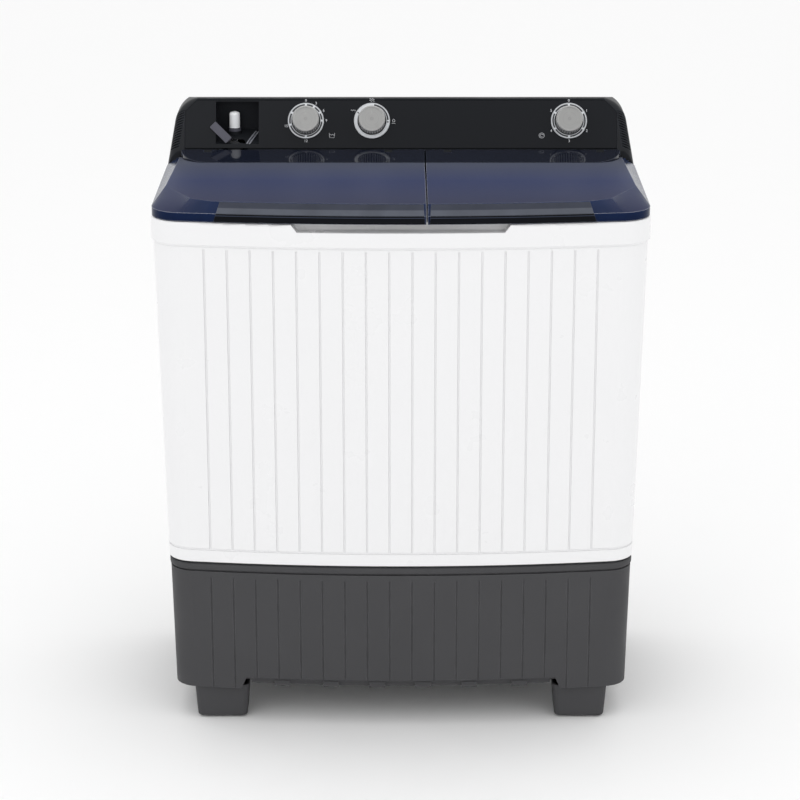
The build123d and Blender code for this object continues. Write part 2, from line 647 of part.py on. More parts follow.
def lid_cap(side, ears):
    """Raised gloss cap along the back of a lid, ending in the hinge barrel."""
    x0, x1 = lid_span(side)
    x0, x1 = max(x0, -CAP_HALF), min(x1, CAP_HALF)
    rise = tan(radians(RAMP_SLOPE))
    low, high = LID_TOP + CAP_EDGE, LID_TOP + CAP_EDGE + (HINGE_Y - RAMP_Y) * rise
    wedge = prism_x([(RAMP_Y, LID_TOP), (HINGE_Y, LID_TOP), (HINGE_Y, high), (RAMP_Y, low)], x0, x1)
    plan = Pos(0, RAMP_Y + 60) * RectangleRounded(2 * CAP_HALF, 120, CAP_CORNER)
    wedge &= Pos(0, 0, LID_TOP - 5) * extrude(plan, amount=40)
    wedge += bar_x(HINGE_Y, HINGE_Z, x0, x1, BARREL_R)
    for x in ears:
        wedge -= box(x - EAR_HALF - 0.5, x + EAR_HALF + 0.5, HINGE_Y - 9, REAR, 820, 870)
        wedge -= bar_x(HINGE_Y, HINGE_Z, x - 17, x + 17, PIN_R + RUNNING)
    return wedge


def lid_handle(side):
    """Gloss grip bar wrapped over the front skirt of a lid, with bevelled ends."""
    x0, x1 = (-280.0, lid_span(-1)[1] - 1.8) if side < 0 else (lid_span(1)[0] + 2.6, 292.0)
    bar = lids_block(HANDLE_PROUD, 0) - lids_block()
    low, high = LID_LOW + 0.6, LID_TOP - 0.6
    left, right = (9, 2) if side < 0 else (2, 9)
    ends = prism_y([(x0, low), (x1, low), (x1 - right, high), (x0 + left, high)], FRONT - 5, -150)
    return bar & ends


def lid_hinge_pins():
    """Steel pins pressed into the hinge ears; the caps turn on their ends."""
    return group(*[bar_x(HINGE_Y, HINGE_Z, x - 16, x + 16, PIN_R) for x in WASH_EARS + SPIN_EARS])


def lid_hinge_brackets():
    """Ears on the console's foot that carry the lid pins."""
    ears = []
    for x in WASH_EARS + SPIN_EARS:
        x0, x1 = x - EAR_HALF, x + EAR_HALF
        stem = box(x0, x1, LID_REAR + 1.2, CONSOLE_WALL_Y, RIM_TOP, HINGE_Z)
        ear = stem + bar_x(HINGE_Y, HINGE_Z, x0, x1, BARREL_R)
        ears.append(ear - bar_x(HINGE_Y, HINGE_Z, x0 - 1, x1 + 1, PIN_R))
    return group(*ears)


INNER_HINGE_Y = SPIN_Y + CHAMBER_R + 3
INNER_HINGE_Z = RIM_TOP + 6.0
INNER_PIN_R = 2.0


def spin_inner_lid():
    """Ribbed safety lid over the spin chamber, with two hinge knuckles behind."""
    low = RIM_TOP + 0.8
    lid = disc(SPIN_X, SPIN_Y, low, low + 9, CHAMBER_R - 3)
    lid = fillet(lid.faces().sort_by(Axis.Z)[-1].edges(), 4)
    lid -= disc(SPIN_X, SPIN_Y, low - 1, low + 7, CHAMBER_R - 5.4)
    for radius in (45, 90):
        lid += ring(SPIN_X, SPIN_Y, low + 3.5, low + 7.5, radius + 1, radius - 1)
    for index in range(6):
        spoke = Pos(70, 0, low + 5.5) * Box(128, 2, 4)
        lid += Pos(SPIN_X, SPIN_Y) * Rot(0, 0, index * 60 + 30) * spoke
    tab = box(SPIN_X - 22, SPIN_X + 22, SPIN_Y - CHAMBER_R - 9, SPIN_Y - CHAMBER_R + 8, low + 6, low + 9)
    lid += fillet(tab.edges().filter_by(Axis.Z), 5)
    for x in (SPIN_X - 40, SPIN_X + 40):
        lid += bar_x(INNER_HINGE_Y, INNER_HINGE_Z, x - 9, x + 9, 4.2)
        front = SPIN_Y + CHAMBER_R - 16
        lid += box(x - 9, x + 9, front, INNER_HINGE_Y, INNER_HINGE_Z - 1.5, INNER_HINGE_Z + 3.2)
    return lid - bar_x(INNER_HINGE_Y, INNER_HINGE_Z, SPIN_X - 60, SPIN_X + 60, INNER_PIN_R + RUNNING)


def inner_lid_hinge():
    """Deck lugs and pins of the inner lid's hinge."""
    lugs = []
    for x in (SPIN_X - 40, SPIN_X + 40):
        for x0 in (x - 15, x + 10):
            lug = box(x0, x0 + 5, INNER_HINGE_Y - 4, INNER_HINGE_Y + 6, RIM_TOP, INNER_HINGE_Z + 3)
            lugs.append(lug)
        lugs.append(bar_x(INNER_HINGE_Y, INNER_HINGE_Z, x - 15, x + 15, INNER_PIN_R))
    return Compound([lugs[0] + lugs[1] + lugs[2], lugs[3] + lugs[4] + lugs[5]])


# ---- wash side ----------------------------------------------------------------------
TUB_SKIN = 3.0
TUB_TOP = RIM_TOP - DECK_SKIN
NOZZLE_Z = 784.0
DRAIN_X, DRAIN_Y = -300.0, 40.0
MOTOR_X = -14.0
PLATE_Z = 236.0
BELT_Z = 197.0
PULLEY_R, MOTOR_PULLEY_R = 68.0, 19.0


def wash_tub():
    """Moulded wash tub hung from the deck, with scrubbing ribs on its walls."""
    width, depth = WASH_TUB
    low = WASH_FLOOR - TUB_SKIN
    tub = wash_opening(low, TUB_TOP, TUB_SKIN) + wash_opening(TUB_TOP - 4, TUB_TOP, FLANGE)
    hollow = wash_opening(WASH_FLOOR, TUB_TOP + 1)
    hollow = fillet(hollow.faces().sort_by(Axis.Z)[0].edges(), 22)
    tub -= hollow
    x0, x1 = WASH_X - width / 2, WASH_X + width / 2
    y0, y1 = WASH_Y - depth / 2, WASH_Y + depth / 2
    ribs = [(x1, WASH_Y + dy) for dy in (-60, 0, 60)] + [(x0, WASH_Y + dy) for dy in (-75, 75)]
    ribs += [(WASH_X + dx, y) for dx in (-90, -30, 30, 90) for y in (y0, y1)]
    for x, y in ribs:
        rib = disc(x, y, WASH_FLOOR + 20, WASH_FLOOR + 300, 6)
        rib = fillet(rib.faces().sort_by(Axis.Z)[-1].edges(), 5.5)
        tub += rib & wash_opening(WASH_FLOOR, TUB_TOP, TUB_SKIN / 2)
    tub -= disc(WASH_X, WASH_Y, low - 1, WASH_FLOOR + 5, 17)
    tub -= disc(DRAIN_X, DRAIN_Y, low - 1, WASH_FLOOR + 20, 14)
    return tub - box(WASH_X - 17, WASH_X + 17, y1 - 1, y1 + TUB_SKIN + 1, NOZZLE_Z + 3, NOZZLE_Z + 17)


def lint_filter():
    """Slotted filter box clipped to the left wall of the wash tub."""
    x0 = WASH_X - WASH_TUB[0] / 2 + 0.2
    frame = box(x0, x0 + 16, WASH_Y - 42, WASH_Y + 42, 560, 720)
    frame = fillet(frame.edges().filter_by(Axis.Z).group_by(Axis.X)[-1], 6)
    frame -= box(x0 + 2, x0 + 13.6, WASH_Y - 38, WASH_Y + 38, 564, 721)
    for index in range(9):
        y = WASH_Y - 32 + index * 8
        frame -= box(x0 + 10, x0 + 20, y - 2.2, y + 2.2, 575, 700)
    return frame


def pulsator():
    """Finned agitator disc at the bottom of the wash tub."""
    low = WASH_FLOOR + 4
    plate = disc(WASH_X, WASH_Y, low, low + 8, 128)
    plate = fillet(plate.faces().sort_by(Axis.Z)[-1].edges(), 6)
    hub = cone(WASH_X, WASH_Y, low + 7, low + 30, 46, 24)
    shape = plate + fillet(hub.faces().sort_by(Axis.Z)[-1].edges(), 5)
    for index in range(6):
        fin = prism_y([(20, 4), (120, 4), (112, 16), (60, 22), (20, 26)], -5, 5)
        shape += Pos(WASH_X, WASH_Y, low) * Rot(0, 0, index * 60) * fin
    for index in range(6):
        for radius in (62, 82, 102):
            angle = radians(index * 60 + 30)
            shape -= disc(WASH_X + radius * cos(angle), WASH_Y + radius * sin(angle), low - 1, low + 9, 4)
    shape -= disc(WASH_X, WASH_Y, low - 1, low + 22, 6)
    shape -= disc(WASH_X, WASH_Y, low + 21, low + 40, 3)
    return shape


def pulsator_screw():
    """Screw that holds the pulsator on its shaft."""
    low = WASH_FLOOR + 4 + 30
    return disc(WASH_X, WASH_Y, low - 16, low, 3) + disc(WASH_X, WASH_Y, low, low + 4, 8)


def pulsator_shaft():
    """Output shaft of the gearbox."""
    top = WASH_FLOOR + 26
    return disc(WASH_X, WASH_Y, PLATE_Z + 40, top, 6) - disc(WASH_X, WASH_Y, top - 8, top + 1, 3)


def pulsator_seal():
    """Rubber seal round the shaft in the tub floor."""
    low = WASH_FLOOR - TUB_SKIN
    seal = ring(WASH_X, WASH_Y, low - 5, WASH_FLOOR + 2, 17, 6 + RUNNING)
    return seal + ring(WASH_X, WASH_Y, low - 5, low, 23, 16)


def gearbox():
    """Reduction gearbox between the belt pulley and the pulsator."""
    body = disc(WASH_X, WASH_Y, PLATE_Z + 3, PLATE_Z + 60, 50)
    body = fillet(body.faces().sort_by(Axis.Z)[-1].edges(), 6)
    body += disc(WASH_X, WASH_Y, PLATE_Z + 50, WASH_FLOOR - TUB_SKIN - 6, 16)
    for index in range(6):
        rib = Pos(53, 0, PLATE_Z + 25) * Box(10, 6, 44)
        body += Pos(WASH_X, WASH_Y) * Rot(0, 0, index * 60) * rib
    body -= disc(WASH_X, WASH_Y, PLATE_Z + 36, WASH_FLOOR, 6 + RUNNING)
    return body - disc(WASH_X, WASH_Y, PLATE_Z - 5, PLATE_Z + 30, 6 + RUNNING)


def drive_plate():
    """Steel plate hung under the wash tub that carries the gearbox and the motor."""
    middle, length = (WASH_X + MOTOR_X) / 2, MOTOR_X - WASH_X + 140
    plate = rounded_block(middle, WASH_Y, length, 130, PLATE_Z, PLATE_Z + 3, 20)
    for x in (WASH_X - 62, MOTOR_X - 68, MOTOR_X + 28):
        for y in (WASH_Y - 56, WASH_Y + 56):
            top = WASH_FLOOR - TUB_SKIN
            plate += disc(x, y, PLATE_Z + 2, top, 6)
    plate -= disc(WASH_X, WASH_Y, PLATE_Z - 1, PLATE_Z + 4, 20)
    return plate - disc(MOTOR_X, WASH_Y, PLATE_Z - 1, PLATE_Z + 4, 20)


def wash_motor():
    """Induction motor of the wash side, shaft downwards."""
    can = disc(MOTOR_X, WASH_Y, PLATE_Z + 3, PLATE_Z + 90, 46)
    can = fillet(can.edges().filter_by(GeomType.CIRCLE), 5)
    can += ring(MOTOR_X, WASH_Y, PLATE_Z + 30, PLATE_Z + 62, 50, 40)
    return can - disc(MOTOR_X, WASH_Y, PLATE_Z - 1, PLATE_Z + 70, 6 + RUNNING)


def grooved_wheel(x, radius, shaft_top):
    """V-belt pulley with its shaft."""
    half = 7.0
    profile = [(0, -half), (radius, -half), (radius - 6, -1.5), (radius - 6, 1.5), (radius, half), (0, half)]
    face = make_face(Polyline(*[(r, 0, z) for r, z in profile], close=True))
    wheel = revolve(face, Axis.Z)
    if radius > 40:
        web = Cylinder(radius - 12, 20) - Cylinder(16, 30)
        wheel -= Pos(0, 0, 12) * web + Pos(0, 0, -12) * web
        for index in range(5):
            wheel -= Rot(0, 0, index * 72) * Pos(36, 0, 0) * Cylinder(10, 30)
    return Pos(x, WASH_Y, BELT_Z) * wheel + disc(x, WASH_Y, BELT_Z - 9, shaft_top, 6)


def drive_belt():
    """V-belt round both pulleys."""
    def loop(extra):
        big, small = PULLEY_R - 6 + extra, MOTOR_PULLEY_R - 6 + extra
        span = MOTOR_X - WASH_X
        lean = (big - small) / span
        rise = sqrt(1 - lean ** 2)
        a, b = (big * lean, big * rise), (span + small * lean, small * rise)
        low_a, low_b = (a[0], -a[1]), (b[0], -b[1])
        edges = [Line(a, b), ThreePointArc(b, (span + small, 0), low_b)]
        edges += [Line(low_b, low_a), ThreePointArc(low_a, (-big, 0), a)]
        return make_face(edges)

    belt = extrude(loop(5.5), amount=2.8) - extrude(loop(0.3), amount=2.8)
    return Pos(WASH_X, WASH_Y, BELT_Z - 1.4) * belt


def pipe(points, radius, wall, bend):
    """Bent tube along points, with rounded turns."""
    path = FilletPolyline(*points, radius=bend)
    start = Plane(origin=path @ 0, z_dir=path % 0)
    outer = sweep(start * Circle(radius), path=path)
    return outer - sweep(start * Circle(radius - wall), path=path)


DRAIN_Z = 96.0


def drain_valve_body():
    """Valve housing under the wash tub's drain hole."""
    top = WASH_FLOOR - TUB_SKIN
    body = disc(DRAIN_X, DRAIN_Y, top - 62, top, 24) - disc(DRAIN_X, DRAIN_Y, top - 58, top + 1, 20)
    return body - bar_y(DRAIN_X, top - 46, DRAIN_Y, DRAIN_Y + 40, 10)


def drain_plunger():
    """Spring-loaded stopper that drops away from the drain hole to let the wash tub empty."""
    top = WASH_FLOOR - TUB_SKIN
    stem = disc(DRAIN_X, DRAIN_Y, top - 36, top - 5, 3)
    return stem + disc(DRAIN_X, DRAIN_Y, top - 9, top - 1, 19.4)


def drain_pipes():
    """Pipes from both tubs to the hose outlet low on the back."""
    top = WASH_FLOOR - TUB_SKIN
    back = DRAIN_Y + 110
    wash = [(DRAIN_X, DRAIN_Y + 24.2, top - 46), (DRAIN_X, back, top - 46)]
    wash += [(DRAIN_X, back, DRAIN_Z), (DRAIN_X, REAR - 0.5, DRAIN_Z)]
    spin = [(SPIN_X, SPIN_Y + 100, CHAMBER_FLOOR - 3.2), (SPIN_X, SPIN_Y + 100, 340), (SPIN_X, back, 340)]
    spin += [(SPIN_X, back, 150), (DRAIN_X + 13.2, back, 150)]
    stop = Cylinder(15, 2.5) - Cylinder(12, 4)
    outlet = pipe(wash, 13, 2, 30) + Pos(DRAIN_X, REAR - 18.75, DRAIN_Z) * Rot(90, 0, 0) * stop
    return group(outlet, pipe(spin, 11, 2, 28))


# ---- spin side ----------------------------------------------------------------------
MOTOR_Z0, MOTOR_Z1 = 122.0, 230.0
DRUM_Z, DRUM_R = 274.0, 45.0
BRAKE_X, BRAKE_Y = SPIN_X + 56.0, SPIN_Y + 46.0
BRAKE_GAP = 4.8              # between pad and drum while the lid is shut


def spin_chamber():
    """Moulded outer chamber of the spinner, hung from the deck."""
    low = CHAMBER_FLOOR - 3
    shell = disc(SPIN_X, SPIN_Y, low, TUB_TOP, CHAMBER_R + 2.5)
    shell += disc(SPIN_X, SPIN_Y, TUB_TOP - 4, TUB_TOP, CHAMBER_R + 8)
    shell -= disc(SPIN_X, SPIN_Y, CHAMBER_FLOOR, TUB_TOP + 1, CHAMBER_R)
    shell -= disc(SPIN_X, SPIN_Y, low - 1, CHAMBER_FLOOR + 1, 34)
    shell -= disc(SPIN_X, SPIN_Y + 100, low - 1, CHAMBER_FLOOR + 1, 9)
    back = SPIN_Y + CHAMBER_R
    return shell - box(SPIN_X - 17, SPIN_X + 17, back - 6, back + 5, NOZZLE_Z + 3, NOZZLE_Z + 17)


def spin_basket():
    """Perforated spin basket with a balance ring and a hub."""
    wall = ring(SPIN_X, SPIN_Y, BASKET_FLOOR, BASKET_TOP, BASKET_R, BASKET_R - 1.8)
    holes = []
    for row in range(8):
        for step in range(14):
            turn = Rot(0, 0, (step + row % 2 / 2) * 360 / 14) * Pos(BASKET_R - 1, 0, 0) * Rot(0, 90, 0)
            holes.append(Pos(SPIN_X, SPIN_Y, BASKET_FLOOR + 40 + row * 34) * turn * Cylinder(3.4, 8))
    wall -= holes
    floor = disc(SPIN_X, SPIN_Y, BASKET_FLOOR, BASKET_FLOOR + 3, BASKET_R)
    hub = cone(SPIN_X, SPIN_Y, BASKET_FLOOR + 2, BASKET_FLOOR + 34, 48, 20)
    rim = ring(SPIN_X, SPIN_Y, BASKET_TOP - 16, BASKET_TOP, BASKET_R + 3, BASKET_R - 11)
    rim = fillet(rim.edges().group_by(Axis.Z)[-1], 3)
    basket = wall + floor + hub + rim
    return basket - disc(SPIN_X, SPIN_Y, BASKET_FLOOR - 1, BASKET_FLOOR + 22, 6)


def spin_shaft():
    """Shaft from the spin motor to the basket."""
    return disc(SPIN_X, SPIN_Y, MOTOR_Z0 + 12, BASKET_FLOOR + 22, 6)


def brake_drum():
    """Brake drum and coupling on the spin shaft."""
    drum = disc(SPIN_X, SPIN_Y, DRUM_Z - 10, DRUM_Z + 10, DRUM_R)
    drum -= disc(SPIN_X, SPIN_Y, DRUM_Z - 6, DRUM_Z + 11, DRUM_R - 4)
    drum += disc(SPIN_X, SPIN_Y, DRUM_Z - 24, DRUM_Z + 14, 15)
    return drum - disc(SPIN_X, SPIN_Y, DRUM_Z - 30, DRUM_Z + 30, 6)


def spin_seal():
    """Rubber boot between the chamber floor and the shaft."""
    low = CHAMBER_FLOOR - 3
    boot = ring(SPIN_X, SPIN_Y, low, CHAMBER_FLOOR, 34, 28) + ring(SPIN_X, SPIN_Y, low - 4, low, 42, 28)
    for index, radius in enumerate((30, 24, 18)):
        boot += ring(SPIN_X, SPIN_Y, low - 4 - index * 5, low + 1 - index * 5, radius, radius - 7)
    return boot + ring(SPIN_X, SPIN_Y, low - 24, low - 12, 14, 6 + RUNNING)


def spin_motor():
    """Spin motor with its mounting plate, top plate and the brake lever's post."""
    can = disc(SPIN_X, SPIN_Y, MOTOR_Z0, MOTOR_Z1, 56)
    can = fillet(can.edges().filter_by(GeomType.CIRCLE), 5)
    can += ring(SPIN_X, SPIN_Y, MOTOR_Z0 + 34, MOTOR_Z0 + 74, 60, 50)
    can += disc(SPIN_X, SPIN_Y, MOTOR_Z0 - 5, MOTOR_Z0 + 2, 80)
    can += disc(SPIN_X, SPIN_Y, MOTOR_Z1 - 1, MOTOR_Z1 + 3, 80)
    can += disc(BRAKE_X, BRAKE_Y, MOTOR_Z1, DRUM_Z + 12, 4)
    can += disc(BRAKE_X, BRAKE_Y, MOTOR_Z1, DRUM_Z - 4.5, 7)
    return can - disc(SPIN_X, SPIN_Y, MOTOR_Z0 + 10, MOTOR_Z1 + 10, 6 + RUNNING)


def spin_motor_mounts():
    """Three rubber dampers between the bottom pan and the spin motor."""
    low, high = TRAY_Z + 3, MOTOR_Z0 - 5
    foot = [(0, low), (20, low), (20, low + 5), (12, low + 12)]
    profile = foot + [(12, high - 12), (18, high - 5), (18, high), (0, high)]
    face = make_face(Polyline(*[(r, 0, z) for r, z in profile], close=True))
    damper = revolve(face, Axis.Z)
    places = [(radians(90 + index * 120), 58) for index in range(3)]
    return group(*[Pos(SPIN_X + r * cos(a), SPIN_Y + r * sin(a), 0) * damper for a, r in places])


def brake_lever():
    """Lever whose pad stops the spin shaft when the lid is lifted."""
    inner = DRUM_R + BRAKE_GAP
    arm = box(SPIN_X + inner + 4, SPIN_X + inner + 12, BRAKE_Y - 58, BRAKE_Y + 34, DRUM_Z - 4, DRUM_Z + 2)
    pad = box(SPIN_X + inner, SPIN_X + inner + 5, BRAKE_Y - 58, BRAKE_Y - 34, DRUM_Z - 9, DRUM_Z + 9)
    eye = disc(BRAKE_X, BRAKE_Y, DRUM_Z - 4, DRUM_Z + 8, 9)
    return arm + pad + eye - disc(BRAKE_X, BRAKE_Y, DRUM_Z - 10, DRUM_Z + 20, 4 + RUNNING)


def brake_cable():
    """Sheathed cable from the console's foot to the brake lever's tail."""
    x = SPIN_X + DRUM_R + BRAKE_GAP + 8
    y = BRAKE_Y + 80
    points = [(326, 162, 840), (326, 162, 420), (x, y, 300), (x, BRAKE_Y + 42, DRUM_Z - 1)]
    path = FilletPolyline(*points, radius=[60, 30])
    return sweep(Plane(origin=path @ 0, z_dir=path % 0) * Circle(2.5), path=path)


# ---- services -----------------------------------------------------------------------
def water_trough():
    """Open trough under the selector with a nozzle into each tub."""
    x0, x1, y0, y1 = -315.0, 226.0, CONSOLE_Y + 6, 192.0
    low, high = RIM_TOP + 1, RIM_TOP + 17
    shell = box(x0, x1, y0, y1, low, high) - box(x0 + 2, x1 - 2, y0 + 2, y1 - 2, low + 2, high + 1)
    wall = box(-120, -118, y0, y1, low, high - 4)
    shell += wall
    for x, reach in ((WASH_X, WASH_Y + WASH_TUB[1] / 2 + TUB_SKIN), (SPIN_X, SPIN_Y + CHAMBER_R + 2.5)):
        nozzle = box(x - 20, x + 20, reach + 0.3, 176, NOZZLE_Z, NOZZLE_Z + 20)
        nozzle += box(x - 20, x + 20, CONSOLE_Y + 8, 176, NOZZLE_Z, low + 1)
        hollow = box(x - 18, x + 18, reach - 1, 174, NOZZLE_Z + 2, NOZZLE_Z + 18)
        hollow += box(x - 18, x + 18, CONSOLE_Y + 10, 174, NOZZLE_Z + 2, low + 3)
        shell = shell + nozzle - hollow
    return shell


def run_capacitors():
    """Motor run capacitors strapped to the rear panel."""
    y = REAR - 3 - (RIM_BOTTOM - BACK_OPENING[2]) * DRAFT - SKIN - 3.4
    cans = []
    for x in (-120.0, -68.0):
        can = disc(x, y - 24, 400, 462, 20)
        can = fillet(can.edges().filter_by(GeomType.CIRCLE), 2)
        strap = ring(x, y - 24, 424, 436, 21.5, 20) + box(x - 8, x + 8, y - 3.2, y, 424, 436)
        cans.append(can + strap)
    return group(*cans)


def cable_gland():
    """Bushed inlet for the supply cord."""
    y = REAR - 3 - (RIM_BOTTOM - BACK_OPENING[2]) * DRAFT - SKIN - 2.2
    body = bar_y(GLAND_X, GLAND_Z, y - 6, y + 8, GLAND_R)
    body += bar_y(GLAND_X, GLAND_Z, y, y + 3, 13) + bar_y(GLAND_X, GLAND_Z, y - 5, y - 1.2, 12)
    return body - bar_y(GLAND_X, GLAND_Z, y - 10, y + 12, CORD_R)


def wiring_harness():
    """Two branches from the console to the motors, held along the back."""
    branches = [
        [(48, 200, 836), (48, 200, 300), (0, 110, 290), (MOTOR_X, WASH_Y + 50.1, 290)],
        [(92, 200, 836), (92, 200, 250), (130, 100, 215), (SPIN_X - 31, 4.4, 200)],
    ]
    runs = []
    for points in branches:
        path = FilletPolyline(*points, radius=[35, 35])
        runs.append(sweep(Plane(origin=path @ 0, z_dir=path % 0) * Circle(4), path=path))
    return group(*runs)


# ---- write --------------------------------------------------------------------------
def washer():
    """Every node of the washer, by name."""
    parts = {
        "cabinet": cabinet(),
        "top_frame": top_frame(),
        "base": base(),
        "base_tray": base_tray(),
        "feet": feet(),
        "foot_pads": foot_pads(),
        "rear_panel": rear_panel(),
        "rear_panel_screws": rear_panel_screws(),
        "console_housing": console_housing(),
        "console_fascia": console_fascia(),
        "console_cheeks": console_cheeks(),
        "inlet_pocket": inlet_pocket(),
        "inlet_spout": inlet_spout(),
        "inlet_collar": inlet_collar(),
        "dial_bezels": group(*[dial_bezel(x) for x in DIALS.values()]),
        "timer_switches": timer_switches(),
        "mode_switch": dial_switch(DIALS["wash_mode"], 40, 40, 22),
        "lid_hinge_brackets": lid_hinge_brackets(),
        "lid_hinge_pins": lid_hinge_pins(),
        "inner_lid_hinge": inner_lid_hinge(),
        "wash_tub": wash_tub(),
        "lint_filter": lint_filter(),
        "pulsator_seal": pulsator_seal(),
        "gearbox": gearbox(),
        "drive_plate": drive_plate(),
        "wash_motor": wash_motor(),
        "drive_belt": drive_belt(),
        "spin_chamber": spin_chamber(),
        "spin_seal": spin_seal(),
        "spin_motor": spin_motor(),
        "spin_motor_mounts": spin_motor_mounts(),
        "brake_cable": brake_cable(),
        "drain_valve_body": drain_valve_body(),
        "drain_pipes": drain_pipes(),
        "water_trough": water_trough(),
        "run_capacitors": run_capacitors(),
        "cable_gland": cable_gland(),
        "wiring_harness": wiring_harness(),
        "wash_lid": lid_shell(-1, WASH_EARS),
        "wash_lid_cap": lid_cap(-1, WASH_EARS),
        "wash_lid_handle": lid_handle(-1),
        "spin_lid": lid_shell(1, SPIN_EARS),
        "spin_lid_cap": lid_cap(1, SPIN_EARS),
        "spin_lid_handle": lid_handle(1),
        "spin_inner_lid": spin_inner_lid(),
        "water_selector": water_selector(),
        "selector_chute": selector_chute(),
        "pulsator": pulsator(),
        "pulsator_shaft": pulsator_shaft(),
        "pulsator_screw": pulsator_screw(),
        "gearbox_pulley": grooved_wheel(WASH_X, PULLEY_R, PLATE_Z + 28),
        "motor_pulley": grooved_wheel(MOTOR_X, MOTOR_PULLEY_R, PLATE_Z + 68),
        "spin_basket": spin_basket(),
        "spin_shaft": spin_shaft(),
        "brake_drum": brake_drum(),
        "brake_lever": brake_lever(),
        "drain_plunger": drain_plunger(),
    }
    for name, x in DIALS.items():
        parts[f"{name}_knob"] = dial_knob(x)
    return parts


os.makedirs("parts", exist_ok=True)
for node, shape in washer().items():
    export_step(shape, f"parts/{node}.step")
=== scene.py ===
"""Looks of the twin tub washer: finishes, printed marks, studio and camera."""
import json
from math import cos, pi, radians, sin

import bmesh
import bpy
from mathutils import Matrix, Vector


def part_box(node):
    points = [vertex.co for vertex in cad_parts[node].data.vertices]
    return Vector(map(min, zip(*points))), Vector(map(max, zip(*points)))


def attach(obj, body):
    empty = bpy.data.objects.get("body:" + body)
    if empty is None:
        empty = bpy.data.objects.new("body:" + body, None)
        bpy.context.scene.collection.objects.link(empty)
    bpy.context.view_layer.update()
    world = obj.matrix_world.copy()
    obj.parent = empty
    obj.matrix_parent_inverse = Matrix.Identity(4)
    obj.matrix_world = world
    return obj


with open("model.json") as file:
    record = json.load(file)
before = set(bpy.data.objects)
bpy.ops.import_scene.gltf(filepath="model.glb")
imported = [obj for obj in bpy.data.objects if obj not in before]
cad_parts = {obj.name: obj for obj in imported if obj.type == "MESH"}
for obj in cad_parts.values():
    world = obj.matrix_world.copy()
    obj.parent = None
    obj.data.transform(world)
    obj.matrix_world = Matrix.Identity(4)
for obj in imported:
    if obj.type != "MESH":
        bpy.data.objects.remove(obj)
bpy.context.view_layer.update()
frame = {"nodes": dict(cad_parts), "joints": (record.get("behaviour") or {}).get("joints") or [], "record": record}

MM = 0.001
NODES = frame["nodes"]
JOINTS = {joint["name"]: joint for joint in frame["joints"]}


# ---- colours (linear) ---------------------------------------------------------------
def srgb(red, green, blue):
    """Linear colour of an 8-bit sRGB one."""
    def linear(value):
        share = value / 255
        return share / 12.92 if share <= 0.04045 else ((share + 0.055) / 1.055) ** 2.4

    return (linear(red), linear(green), linear(blue), 1.0)


def shade(colour, factor):
    """The same colour, lighter or darker."""
    return tuple(min(channel * factor, 1.0) for channel in colour[:3]) + (1.0,)


# ---- material helpers ---------------------------------------------------------------
FULL = (0.0, 1.0)
MOST_NOISE = (0.3, 0.7)      # where most values of a fractal noise lie
SHARP_EDGE = (0.995, 0.90)   # cosines of the rounding, off an edge and on it


